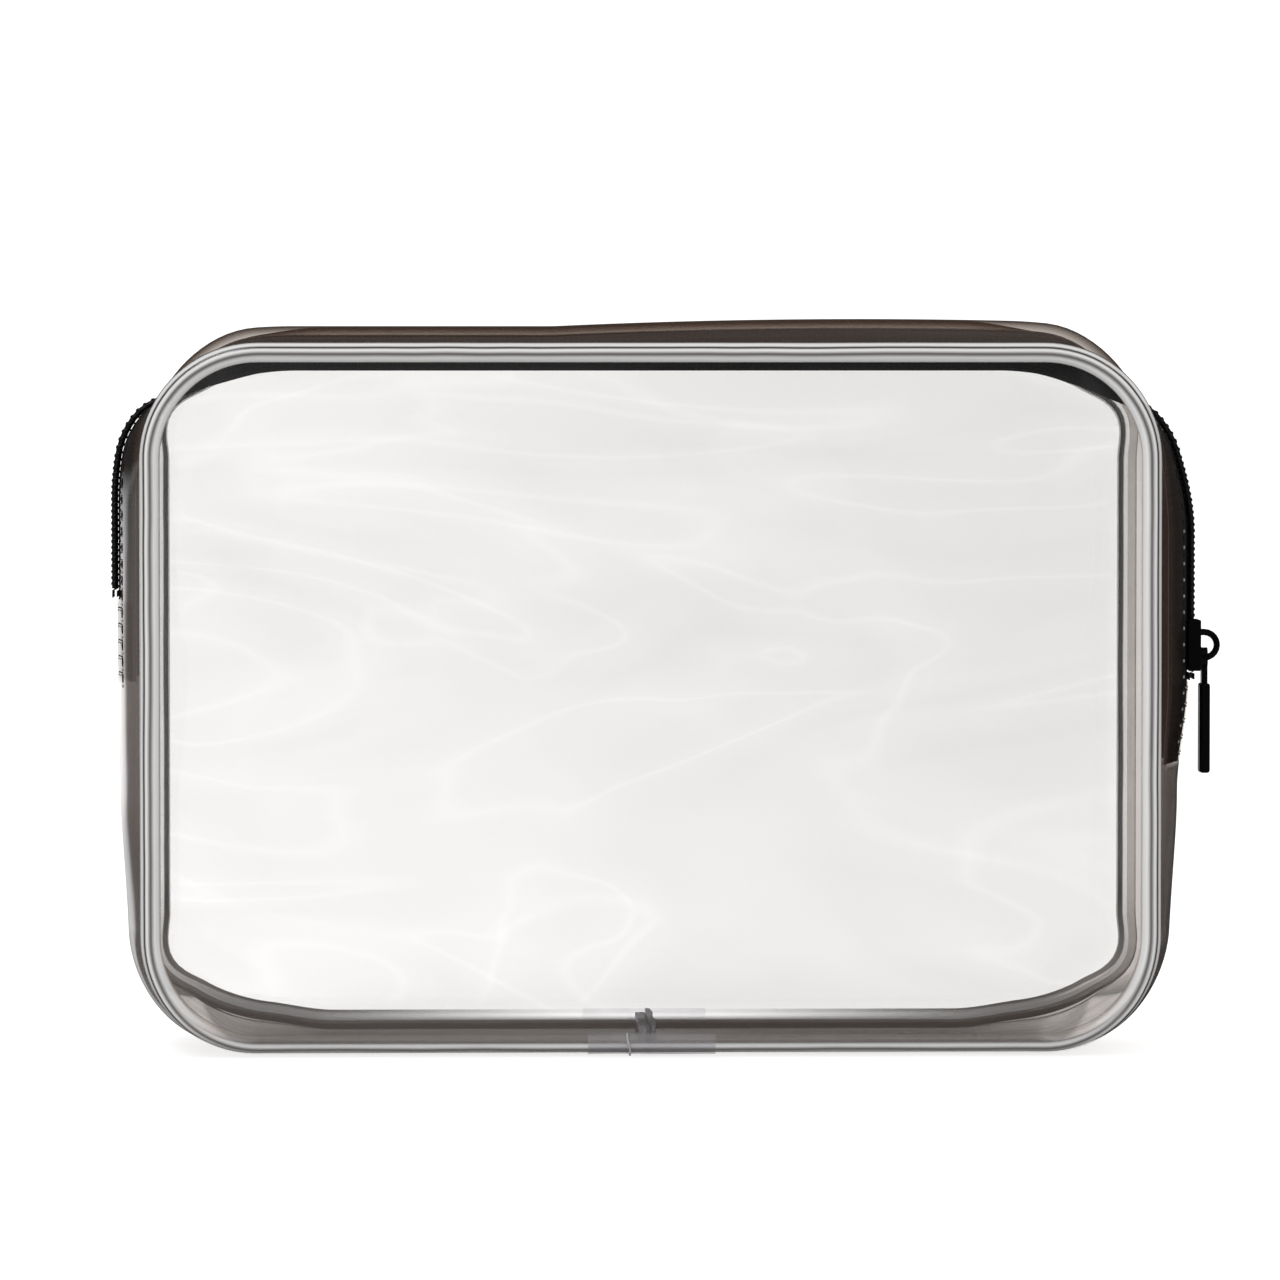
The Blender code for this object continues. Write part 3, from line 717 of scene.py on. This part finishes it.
def band_look():
    """Soft clear sheet with a brown cast, deeper where it is seen edge on, and streaks along it.

    It is clearer and duller where it lies on the zip's tape, duller still where it is sewn down over
    the tape's ends, and clearer towards the rear seam on the right side.
    """
    look = Look("clear_band_film")
    taped = look.painted("on_tape")
    through = look.add("BsdfTransparent", Color=BAND_TINT)
    streaks = look.noise(1.0, detail=3.0, stretch=(18, 900, 1), space="UV")
    solid = look.add("BsdfDiffuse", Color=look.tint(streaks, BAND_DARKEST, BAND_LIGHTEST))
    depth = look.math("POWER", look.facing(), 1.5)
    uneven = look.scaled(streaks, -STREAK_COVER, STREAK_COVER)
    cover = look.plus(look.scaled(depth, BAND_COVER, 1.0), uneven)
    clearer = look.scaled(taped, 1.0, TAPED_COVER)
    cast_kept = look.times(clearer, look.scaled(look.painted("thin"), 1.0, 1 - RIGHT_REAR_CLEARING))
    film = look.mix(look.times(cover, cast_kept), through, solid)
    shine = look.gloss(0.08, look.bump(look.noise(45.0), strength=0.15, distance=0.0008))
    sewn = look.scaled(look.painted("sewn_down"), 1.0, TAPED_SHINE)
    duller = look.times(sewn, look.scaled(taped, 1.0, TAPED_SHINE))
    return look.finish(look.mix(look.times(look.glare(), duller), film, shine))


def bead_look():
    """Clear extruded bead, with highlights and dark reflections painted round it as lines along it.

    Low down between the panels the rear bead is shaded, and each bead is clear in part.
    """
    look = Look("clear_piping_bead")
    wander = look.scaled(look.noise(1.0, stretch=(40, 0, 1), space="UV"), -LINE_WANDER, LINE_WANDER)
    turned = look.math("SUBTRACT", wander, look.painted("turned"))
    # The lines are painted light: highlights and dark reflections set into the colour by angle round the
    # bead.
    stops = [((angle + 180) / 360, shade, cover) for angle, shade, cover in BEAD_LIGHT_LINES]
    lines = look.shades(look.plus(look.place("UV")["Y"], turned), stops).outputs
    fine = look.noise(1.0, detail=3.0, stretch=(25, 45, 1), space="UV")
    streaks = look.tint(fine, (0.74, 0.74, 0.74), PURE_WHITE)
    streaked = look.blended(1.0, lines["Color"], streaks, "MULTIPLY")
    shaded = look.painted("shaded")
    shade = look.tint(look.painted("base"), CORNER_SHADE, BASE_SHADE)
    cover = look.math("MINIMUM", 1.0, look.plus(lines["Alpha"], look.times(shaded, SHADE_COVER)))
    return look.solid(
        Base_Color=look.blended(shaded, streaked, shade),
        Roughness=0.10,
        IOR=1.46,
        Alpha=look.times(cover, look.painted("kept")),
    )


def wrap_look(name, milkiness):
    """Clear adhesive tape, a little milky, with painted shade where it turns under the bead."""
    look = Look(name)
    through = look.add("BsdfTransparent", Color=(0.97, 0.965, 0.975))
    # Painted shade: the tape is darker and less clear where it turns under the bead.
    under = look.scaled(look.place("UV")["Y"], 0.0, 1.0, start=-0.0005, end=0.0016)
    tone = look.tint(under, (0.52, 0.51, 0.54), (0.16, 0.155, 0.16))
    milk = look.add("BsdfPrincipled", Base_Color=tone, Roughness=0.15)
    cloud = look.scaled(look.noise(140.0, detail=3.0), 0.06, 0.28)
    cover = look.plus(cloud, look.times(under, 0.30))
    return look.finish(look.mix(look.times(cover, milkiness), through, milk))


def pucker_glint_look():
    """Small ridges of clear sheet, coloured pale grey as a painted glint."""
    look = Look("clear_sheet_pucker_glint")
    # Painted glint: the ridges are pale grey instead of clear.
    tone = look.tint(look.noise(700.0), (0.14, 0.14, 0.14), (0.65, 0.65, 0.65))
    return look.solid(Base_Color=tone, Roughness=0.2)


def weld_look():
    """Two thicknesses of sheet welded together: grey and cloudy, clearer in spots."""
    look = Look("clear_band_weld")
    through = look.add("BsdfTransparent", Color=(0.95, 0.94, 0.93))
    spots = look.noise(420.0, detail=3.0)
    cloud = look.add(
        "BsdfPrincipled",
        Base_Color=look.tint(spots, (0.09, 0.087, 0.09), (0.36, 0.35, 0.36)),
        Roughness=0.2,
        Normal=look.bump(spots, strength=0.4, distance=0.0003),
    )
    return look.finish(look.mix(look.scaled(spots, 0.45, 0.85), through, cloud))


def tape_look():
    """Black woven tape: fine ribs across it, threads along it, and a painted glint along its outer edge.
    """
    look = Look("black_woven_tape")
    weave = look.times(look.ribs("X", TAPE_RIBS), look.ribs("Y", TAPE_RIBS))
    fuzz = look.noise(2500.0)
    start, end = (COIL_GAP + TAPE_WIDTH - inset for inset in EDGE_GLINT)
    edge_glint = look.scaled(look.math("ABSOLUTE", look.place("UV")["Y"]), 0.0, 1.0, start, end)
    tone = look.math("MAXIMUM", look.times(fuzz, 0.6), edge_glint)
    # thread, the palest shade, is the painted glint along the tape's outer edge
    black, worn, thread = (0.001, 0.001, 0.001), (0.009, 0.008, 0.009), (0.30, 0.29, 0.29)
    return look.solid(
        Base_Color=look.shades(tone, ((0, black, 1), (0.6, worn, 1), (1, thread, 1))).outputs["Color"],
        Roughness=0.85,
        Sheen_Weight=0.02,
        Specular_IOR_Level=0.08,
        Normal=look.bump(look.plus(weave, look.times(fuzz, 0.4)), strength=0.6, distance=0.00025),
    )


def nylon_look():
    """Black nylon, satin, with fine scratches."""
    look = Look("black_nylon_coil")
    grain = look.noise(1800.0, detail=3.0)
    return look.solid(
        Base_Color=look.tint(grain, (0.001, 0.001, 0.001), (0.006, 0.006, 0.007)),
        Roughness=look.scaled(grain, 0.22, 0.40),
        Specular_IOR_Level=0.28,
    )


def thread_look():
    """Black sewing thread with its twist."""
    look = Look("black_sewing_thread")
    twist = look.noise(1.0, stretch=(4000, 6, 1), space="UV")
    return look.solid(
        Base_Color=look.tint(twist, (0.002, 0.002, 0.002), (0.022, 0.021, 0.022)),
        Roughness=0.55,
        Sheen_Weight=0.05,
        Specular_IOR_Level=0.15,
        Normal=look.bump(twist, strength=0.5, distance=0.0001),
    )


def metal_look():
    """Black baked paint on a small casting, with a slight orange peel."""
    look = Look("black_painted_metal")
    peel = look.noise(1400.0, detail=3.0)
    return look.solid(
        Base_Color=look.tint(peel, (0.0005, 0.0005, 0.0005), (0.002, 0.002, 0.0022)),
        Roughness=look.scaled(peel, 0.25, 0.42),
        Specular_IOR_Level=0.08,
        Normal=look.bump(peel, strength=0.15, distance=0.0001),
    )


# Panels and piping


def half_width(z):
    """Half the panel's width at a height."""
    past = max(SEAM_BOTTOM + CORNER_RADIUS - z, z - SEAM_TOP + CORNER_RADIUS, 0.0)
    return HALF_FLAT + sqrt(max(0.0, PANEL_CORNER**2 - past**2))


def ripple(x, z, side):
    """How far a panel stands off its plane: long soft waves, mostly across its upper part."""
    height = (z - SEAM_BOTTOM) / (SEAM_TOP - SEAM_BOTTOM)
    long = wave(x * RIPPLE_WAVES[0], side * RIPPLE_APART, z * RIPPLE_WAVES[1])
    across = x * FINE_ACROSS[0] + z * FINE_ACROSS[1]
    up = x * FINE_UP[0] + z * FINE_UP[1]
    fine = FINE_RIPPLE * wave(across, side * FINE_APART, up)
    return RIPPLE * (long * (RIPPLE_LOW + (1 - RIPPLE_LOW) * height) + fine * height)


def chord_crease(x, z):
    """How far the rear panel stands in along a crease across each lower corner."""
    from_corner = SEAM_HALF_WIDTH - abs(x) + z - SEAM_BOTTOM
    return CHORD_CREASE * max(0.0, 1 - abs(from_corner - CHORD_PLACE) / CHORD_WIDTH)


def nearest_on_seam(x, z):
    """How far along the seam line the place nearest to a point of a panel is."""
    below, above = SEAM_BOTTOM + CORNER_RADIUS - z, z - SEAM_TOP + CORNER_RADIUS
    past = abs(x) - HALF_FLAT
    if below > 0:
        s = HALF_FLAT + CORNER_RADIUS * atan2(past, below) if past > 0 else abs(x)
    elif above > 0:
        turned = atan2(above, past) if past > 0 else pi / 2
        s = HALF_FLAT + QUARTER + SIDE_RUN + CORNER_RADIUS * turned + max(0.0, -past)
    else:
        s = on_right(z)
    return s if x > 0 else SEAM_LENGTH - s


def rear_shift(x, z, near):
    """How the seam and the creases move a point of the rear panel, this near to its edge."""
    s = nearest_on_seam(x, z)
    heading = seam(s)[2]
    drawn = pinch(s, PANEL_PLANE) * smooth(1 - near / PINCH_FADE)
    crease = chord_crease(x, z) * smooth(near / CHORD_FADE)
    return Vector((-sin(heading) * drawn, -crease, cos(heading) * drawn))


def rear_weld(near):
    """How much of the rear panel's weld shows, this near to its edge."""
    line = 1 - smooth((near - WELD_WIDTH) / WELD_FADE)
    halo = 1 - smooth(near / HALO_WIDTH)
    return WELD_LINE * line + WELD_HALO * halo


def make_panel(name, side, look):
    """One clear panel from seam to seam. side is -1 at the front."""
    skin = Skin()
    low, high = SEAM_BOTTOM + PANEL_INSET, SEAM_TOP - PANEL_INSET
    turn = [PANEL_CORNER * (1 - cos(angle)) for angle in spread(0, pi / 2, STEP / PANEL_CORNER)]
    heights = [low + t for t in turn] + spread(low + PANEL_CORNER, high - PANEL_CORNER, STEP)[1:-1]
    heights += [high - t for t in reversed(turn)]
    columns = round(BAG_WIDTH / STEP)
    rows = []
    welds = []
    for z in heights:
        half = half_width(z)
        row = []
        for i in range(columns + 1):
            x = (2 * i / columns - 1) * half
            near = min(half - abs(x), z - low, high - z)
            stray = ripple(x, z, side) * smooth(near / RIPPLE_FADE)
            place = Vector((x, side * PANEL_PLANE + stray, z))
            row.append(place + rear_shift(x, z, near) if side > 0 else place)
            welds.append(rear_weld(near) if side > 0 else 0.0)
        rows.append(row)
    skin.grid(rows, lambda r, c: rows[r][c].xz)
    panel = skin.piece(name, look, "clear_panel_sheet")
    paint(panel, "weld", welds)
    return panel


def bead_kept(side, s, angle):
    """How much of the bead's lines shows: 1, or less where it is clear. Angles as in BEAD_LIGHT_LINES."""
    base = max(0.0, cos(seam(s)[2])) ** 2
    if side < 0:
        band_shows = smooth((BEAD_INSIDE - angle) / LINE_FADE + 0.5)
        floor_shows = smooth((angle - BEAD_UNDER) / LINE_FADE + 0.5)
        return 1 - BASE_CLEAR * base * max(band_shows, floor_shows)
    away = smooth((90 - abs(angle)) / LINE_FADE + 0.5)
    upper = smooth(-angle / LINE_FADE) * smooth((angle + 180) / LINE_FADE)
    return (1 - AWAY_CLEAR * away) * (1 - base * hill(seam(s)[0], REAR_CLEAR) * upper)


def make_bead(name, side, look):
    """The piping along one seam, its ends together at the bottom."""
    skin = Skin()
    places = spread(0, SEAM_LENGTH, STEP)
    angles = [2 * pi * i / BEAD_SIDES - pi for i in range(BEAD_SIDES)]
    rings = []
    painted = {"turned": [], "base": [], "shaded": [], "kept": []}
    for s in places:
        ring = []
        for angle in angles:
            deep, out = PIPING_RADIUS * cos(angle), PIPING_RADIUS * sin(angle)
            ring.append(beside_seam(s, side * (PANEL_PLANE + deep), out))
        rings.append(ring)
        z, heading = seam(s)[1:]
        down = cos(heading)
        flat = max(0.0, down) ** 2
        turn = LINE_TURN * (1 - down * down) + BASE_TURN * flat
        low = smooth(1 - (z - SEAM_BOTTOM) / SHADE_HEIGHT) if side > 0 else 0.0
        painted["turned"] += [turn / 360] * BEAD_SIDES
        painted["base"] += [flat] * BEAD_SIDES
        painted["shaded"] += [low] * BEAD_SIDES
        painted["kept"] += [bead_kept(side, s, degrees(angle)) for angle in angles]
    skin.grid(rings, lambda r, c: (places[r], c / BEAD_SIDES), closed=True)
    bead = skin.piece(name, look, "clear_piping")
    for value, points in painted.items():
        paint(bead, value, points)
    return bead


def make_wrap(name, side, look):
    """Clear tape round the joint of the bead's ends, open towards the panel and the band."""
    skin = Skin()
    places = spread(-WRAP_LENGTH / 2, WRAP_LENGTH / 2, WRAP_STEP)
    angles = spread(WRAP_OPENING - pi, pi / 2 - WRAP_OPENING, WRAP_TURN)
    rows = []
    for x in places:
        row = []
        for angle in angles:
            radius = PIPING_RADIUS + WRAP_WALL / 2 + WRAP_WAVE * wave(x * WRAP_WAVES, angle, side)
            deep, down = radius * cos(angle), radius * sin(angle)
            row.append(Vector((x, side * (PANEL_PLANE + deep), SEAM_BOTTOM - down)))
        rows.append(row)
    skin.grid(rows, lambda r, c: (places[r], angles[c] * PIPING_RADIUS))
    return skin.piece(name, look, "clear_wrap")


def make_wrap_edge(look):
    """The end of the front wrap's tape, a small ridge round the bead, pale with a painted glint."""
    skin = Skin()
    radius = PIPING_RADIUS + WRAP_WALL
    points = []
    for angle in spread(WRAP_OPENING - pi / 2, pi / 2 - WRAP_OPENING, WRAP_TURN):
        deep, down = radius * cos(angle), radius * sin(angle)
        aslant = WRAP_END + WRAP_WALL * sin(2 * angle)
        points.append(Vector((aslant, -PANEL_PLANE - deep, SEAM_BOTTOM - down)))
    skin.tube(points, [WRAP_RIDGE] * len(points), THREAD_SIDES)
    return skin.piece("front_wrap_edge", look, "clear_wrap")


def make_panels_and_piping(glint_look):
    """Both panels with the beads round them, and the wraps on the beads' joints."""
    clear, bead = panel_look(), bead_look()
    front = make_panel("front_panel", -1, clear)
    rear = make_panel("rear_panel", 1, clear)
    on_mouth(front, "front_panel_lower", "front_panel_upper")
    on_bag(rear, "back_panel")
    front_bead = make_bead("front_bead", -1, bead)
    rear_bead = make_bead("rear_bead", 1, bead)
    on_mouth(front_bead, "front_piping_left", "front_piping_right", "front_piping_upper")
    on_bag(rear_bead, "rear_piping")
    on_bag(make_wrap("front_wrap", -1, wrap_look("front_wrap_tape", 1.0)), "front_piping_wrap")
    on_bag(make_wrap("rear_wrap", 1, wrap_look("rear_wrap_tape", 0.3)), "rear_piping_wrap")
    on_bag(make_wrap_edge(glint_look))


# Band


def on_tape(s, y):
    """How much the tape under the band shows: 1 over the tape, less on the left side, and 0 elsewhere."""
    s %= SEAM_LENGTH
    inside = min(COIL_GAP + TAPE_WIDTH - abs(y), s - TAPE_RIGHT, TAPE_LEFT - s)
    shows = 1 - (1 - LEFT_SHOWS) * smooth((s - on_left(SEAM_TOP - CORNER_RADIUS)) / QUARTER)
    return shows * smooth(inside / TAPE_EDGE + 0.5)


def sewn_down(s, y):
    """As on_tape, and 0 beside the slot: what is left is sewn to the ends of the tape."""
    s %= SEAM_LENGTH
    below = max(SLOT_RIGHT - s, s - SLOT_LEFT)
    return on_tape(s, y) * smooth(below / TAPE_EDGE)


# The band is painted clearer here; the sheet is no thinner.
def thin(s, y):
    """1 at the rear seam of the right side, falling to 0 at the band's middle and round the corners."""
    return max(0.0, sin(seam(s)[2])) ** 2 * smooth(y / BAND_HALF_DEPTH)


def make_strip(name, places, across, level, look, slot):
    """A sheet along the band, at these places and distances from its middle. level lifts it."""
    skin = Skin()
    rows = [[band(s, y, level(y)) for y in across] for s in places]
    skin.grid(rows, lambda r, c: (places[r], across[c]))
    return skin.piece(name, look, slot)


def make_film(name, places, across, look):
    """A stretch of the band itself."""
    film = make_strip(name, places, across, lambda y: 0.0, look, "clear_band_sheet")
    for value in (on_tape, sewn_down, thin):
        paint(film, value.__name__, [value(s, y) for s in places for y in across])
    return film


def make_fin(look):
    """The two ends of the band, turned up side by side and welded together, lower towards the rear."""
    skin = Skin()
    low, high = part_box("band_seam_fin")
    depths = spread(low.y, high.y, STEP)
    for inner, outer, short in ((-FIN_GAP, low.x - FIN_SPREAD, FIN_STEP), (FIN_GAP, high.x, 0.0)):
        rings = []
        for y in depths:
            share = (y - low.y) / (high.y - low.y)
            top = low.z + (high.z - low.z - short) * (1 - FIN_FALL * share)
            outline = ((inner, low.z), (inner, top), (outer, top - FIN_GAP), (outer, low.z))
            sway = FIN_WAVE * wave(y * FIN_WAVES, 0, outer)
            rings.append([Vector((x + sway, y, z)) for x, z in outline])
        skin.loft(rings, depths)
    return skin.piece("band_fin", look, "clear_band_sheet")


def make_band():
    """The band in three stretches, either side of the slot and below it, and the fin on the base."""
    film = band_look()
    slot = spread(SLOT_RIGHT, SLOT_LEFT, STEP)
    below = spread(SLOT_LEFT - SEAM_LENGTH, SLOT_RIGHT, FINE_STEP)
    outer = spread(SLOT_HALF_WIDTH, BAND_HALF_DEPTH, STEP)
    whole = spread(-BAND_HALF_DEPTH, BAND_HALF_DEPTH, FINE_STEP)
    front = make_film("front_band", slot, [-y for y in reversed(outer)], film)
    rear = make_film("rear_band", slot, outer, film)
    lower = make_film("lower_band", below, whole, film)
    on_mouth(front, "front_band_strip")
    on_bag(rear, "side_band")
    on_bag(lower)
    on_bag(make_fin(weld_look()), "band_seam_fin")


# Zip


def tape_level(y):
    """The tape lies under the band, and comes up to the coil at its edge."""
    return TAPE_LEVEL + (TAPE / 2 + CLEARANCE) * smooth(1 - (abs(y) - COIL_GAP) / TAPE_RISE)


def make_tape(name, places, across, look):
    """A stretch of the zip's woven tape."""
    return make_strip(name, places, across, tape_level, look, "black_zip_tape")


def meshed(s):
    """1 where the two coils mesh, and 0 where the slider runs."""
    return smooth((s - on_right(MESH_START)) / MESH_FADE)


def make_coil(name, side, look):
    """One coil of the zip: nylon wound in turns along the tape's edge, wider where it meshes."""
    skin = Skin()
    start, end = on_right(RIGHT_TACK_TOP + CLEARANCE), on_left(LEFT_TACK_TOP + CLEARANCE)
    count = round((end - start) / COIL_PITCH) * COIL_STEPS
    wound = COIL_RADIUS - COIL_WIRE
    points = []
    for i in range(count + 1):
        s = start + (end - start) * i / count
        angle = 2 * pi * i / COIL_STEPS
        wider = (COIL_GAP - COIL_MEET) / 2 * meshed(s)
        y = side * (COIL_GAP + COIL_RADIUS - wider)
        out = out_of_band(s, y) * wound * sin(angle)
        aside = Vector((0, side * (wound + wider) * cos(angle), 0))
        points.append(band(s, y, COIL_LEVEL) + out + aside)
    skin.tube(points, [COIL_WIRE] * len(points), THREAD_SIDES)
    whole = spread(start, end, STEP)
    core = [band(s, side * (COIL_GAP + COIL_RADIUS), COIL_LEVEL) for s in whole]
    skin.tube(core, [COIL_CORE] * len(core), CORD_SIDES)
    closed = spread(on_right(MESH_START) + MESH_FADE / 2, end, STEP)
    inner = [band(s, side * (COIL_MEET + COIL_CORE * meshed(s)), COIL_LEVEL) for s in closed]
    skin.tube(inner, [COIL_CORE * meshed(s) for s in closed], CORD_SIDES)
    return skin.piece(name, look, "black_zip_coil")


def stitch_rows(side):
    """Where each stitch starts on the band, and its way along and across."""
    line = side * (SLOT_HALF_WIDTH + STITCH_MARGIN)
    stitches = []
    for s in spread(TAPE_RIGHT + STITCH_MARGIN, TAPE_LEFT - STITCH_MARGIN, STITCH_PITCH):
        stitches.append((s, line, 1, 0))
    for end, way in ((TAPE_RIGHT, 1), (TAPE_LEFT, -1)):
        for offset in spread(STITCH_MARGIN, TAPE_TAIL - STITCH_MARGIN, STITCH_PITCH):
            for y in spread(STITCH_START, abs(line) - STITCH_LENGTH, STITCH_PITCH):
                stitches.append((end + way * offset, side * y, 0, side))
    return stitches


def make_stitches(name, side, look):
    """The row of stitches along one edge of the slot, and rows across the ends of the tape."""
    skin = Skin()
    radii = [STITCH_RADIUS * share for share in STITCH_SHAPE]
    steps = spread(0, STITCH_LENGTH, STITCH_LENGTH / (len(radii) - 1))
    for s, y, along, across in stitch_rows(side):
        points = [band(s + along * step, y + across * step) for step in steps]
        skin.tube(points, radii, THREAD_SIDES)
    return skin.piece(name, look, "black_thread")


def make_puckers(name, side, look):
    """Small ridges of the sheet between the stitches, down both sides of the bag, pale with painted
    glints.
    """
    skin = Skin()
    radii = [PUCKER_RADIUS * share for share in PUCKER_SHAPE]
    steps = spread(-PUCKER_LENGTH / 2, PUCKER_LENGTH / 2, PUCKER_LENGTH / (len(radii) - 1))
    gap = (STITCH_PITCH - STITCH_LENGTH) / 2
    for s, y, along, across in stitch_rows(side):
        if seam(s)[1] > PUCKER_TOP:
            continue
        start = s + along * (STITCH_LENGTH + gap) + across * side * gap
        points = [band(start + along * step, y + across * step) for step in steps]
        skin.tube(points, radii, THREAD_SIDES)
    return skin.piece(name, look, "clear_band_sheet")


def make_tack(name, node, look):
    """The thread tack across one end of the zip: two layers of threads laid side by side."""
    skin = Skin()
    low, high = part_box(node)
    radius = (high.z - low.z) / (2 * TACK_THREADS)
    for layer, x in enumerate((low.x + radius, high.x - radius)):
        for i in range(TACK_THREADS - layer):
            z = low.z + radius * (2 * i + 1 + layer)
            points = [Vector((x, y, z)) for y in spread(low.y, high.y, TACK_STEP)]
            skin.tube(points, [radius * TACK_SWELL] * len(points), CORD_SIDES)
    return skin.piece(name, look, "black_thread")


def make_zip(glint_look):
    """The zip's tapes, coils, stitches, puckers and tacks, and the paint on its slider."""
    cloth, nylon, thread, metal = tape_look(), nylon_look(), thread_look(), metal_look()
    places = spread(TAPE_RIGHT, TAPE_LEFT, STEP)
    across = spread(COIL_GAP, COIL_GAP + TAPE_WIDTH, FINE_STEP)
    front = make_tape("front_tape", places, [-y for y in reversed(across)], cloth)
    rear = make_tape("rear_tape", places, across, cloth)
    on_mouth(front, "front_zip_tape", "front_zip_tape_right_tail", "front_zip_tape_left_tail")
    on_bag(rear, "rear_zip_tape")
    between = spread(-COIL_GAP, COIL_GAP, FINE_STEP)
    right_tail = spread(TAPE_RIGHT, on_right(RIGHT_TACK_TOP), FINE_STEP)
    left_tail = spread(on_left(LEFT_TACK_TOP), TAPE_LEFT, FINE_STEP)
    on_bag(make_tape("right_tape_joint", right_tail, between, cloth))
    on_bag(make_tape("left_tape_joint", left_tail, between, cloth))
    coil = make_coil("front_coil", -1, nylon)
    on_mouth(coil, "front_zip_coil", "front_zip_coil_right_tail", "front_zip_coil_left_tail")
    on_bag(make_coil("rear_coil", 1, nylon), "rear_zip_coil")
    on_mouth(make_stitches("front_stitches", -1, thread))
    on_bag(make_stitches("rear_stitches", 1, thread))
    on_mouth(make_puckers("front_pucker_glints", -1, glint_look))
    on_bag(make_puckers("rear_pucker_glints", 1, glint_look))
    for side in ("left", "right"):
        node = f"{side}_zip_tack"
        on_bag(make_tack(f"{side}_tack", node, thread), node)
    for node in ("slider_body", "slider_bridge", "pull_tab"):
        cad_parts[node].data.materials.clear()
        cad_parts[node].data.materials.append(metal)


# Studio


def make_stage():
    """A white floor that fills the view and keeps the bag's shadow. Reflections pass through it."""
    reach = FLOOR_REACH
    data = bpy.data.meshes.new("studio_floor")
    corners = [(-reach, -reach, 0), (reach, -reach, 0), (reach, reach, 0), (-reach, reach, 0)]
    data.from_pydata(corners, [], [(0, 1, 2, 3)])
    floor = bpy.data.objects.new("studio_floor", data)
    floor.location.z = -CLEARANCE
    bpy.context.scene.collection.objects.link(floor)
    look = Look("studio_floor")
    lit = look.add("BsdfDiffuse", Color=(FLOOR_SHADE, FLOOR_SHADE, FLOOR_SHADE))
    glow = look.add("Emission", Color=PURE_WHITE, Strength=look.times(look.seen(), FLOOR_GLOW))
    both = look.add("AddShader")
    look.feed(both.inputs[0], lit.outputs[0])
    look.feed(both.inputs[1], glow.outputs[0])
    clear = look.add("BsdfTransparent")
    data.materials.append(look.finish(look.mix(look.mirrored(), both, clear)))


def make_world():
    """White for the camera and through clear pieces. Reflections see a dim room over a bright table.

    Behind the bag they see the room alone, with a low window on the left.
    """
    world = bpy.data.worlds.new("studio")
    world.use_nodes = True
    bpy.context.scene.world = world
    room = Nodes(world.node_tree)
    x, y, z = room.place("Generated")
    table = room.scaled(z, TABLE_GLOW, ROOM_GLOW, *TABLE_EDGE)
    patches = room.scaled(room.noise(7.0, detail=1.0, space="Generated"), 0.0, PATCH_GLOW, *PATCH_EDGE)
    top_box = room.scaled(z, 0.0, TOP_GLOW, *TOP_EDGE)
    front = room.plus(table, room.plus(patches, top_box))
    aslant = room.plus(x, room.times(z, WINDOW_SLANT))
    across = room.scaled(aslant, WINDOW_DIM, WINDOW_GLOW, *WINDOW_LEFT)
    window = room.times(across, room.scaled(x, 1.0, 0.0, *WINDOW_RIGHT))
    sill = room.scaled(z, SILL_GLOW, 1.0, *SILL_EDGE)
    up = room.times(sill, room.scaled(z, 1.0, 0.0, *WINDOW_TOP))
    rear = room.plus(ROOM_GLOW, room.times(window, up))
    behind = room.scaled(y, 0.0, 1.0, *BEHIND_EDGE)
    apart = room.times(behind, room.math("SUBTRACT", rear, front))
    reflected = room.math("SUBTRACT", room.plus(front, apart), AMBIENT)
    level = room.plus(AMBIENT, room.times(room.mirrored(), reflected))
    back = world.node_tree.nodes["Background"]
    room.feed(back.inputs["Color"], PURE_WHITE)
    room.feed(back.inputs["Strength"], room.math("MAXIMUM", room.times(room.seen(), BACKDROP), level))


def stand(made, place, aim):
    """Puts a lamp or a camera in its place, turned to a point."""
    made.location = place
    made.rotation_euler = (Vector(aim) - Vector(place)).to_track_quat("-Z", "Y").to_euler()
    bpy.context.scene.collection.objects.link(made)


def make_key_light():
    """A large soft lamp, high on the left in front."""
    data = bpy.data.lights.new("key", "AREA")
    data.shape = "RECTANGLE"
    data.size = KEY_SIZE
    data.size_y = KEY_SIZE
    data.energy = KEY_POWER
    stand(bpy.data.objects.new("key", data), KEY_PLACE, KEY_AIM)


def make_camera():
    """The camera that looks as the photograph's did."""
    data = bpy.data.cameras.new("camera")
    data.lens = CAMERA_LENS
    data.sensor_width = CAMERA_SENSOR
    camera = bpy.data.objects.new("camera", data)
    stand(camera, CAMERA_PLACE, CAMERA_AIM)
    bpy.context.scene.camera = camera


ridge_glint_look = pucker_glint_look()
make_panels_and_piping(ridge_glint_look)
make_band()
make_zip(ridge_glint_look)
make_stage()
make_world()
make_key_light()
make_camera()
bpy.context.scene.view_settings.view_transform = "Standard"
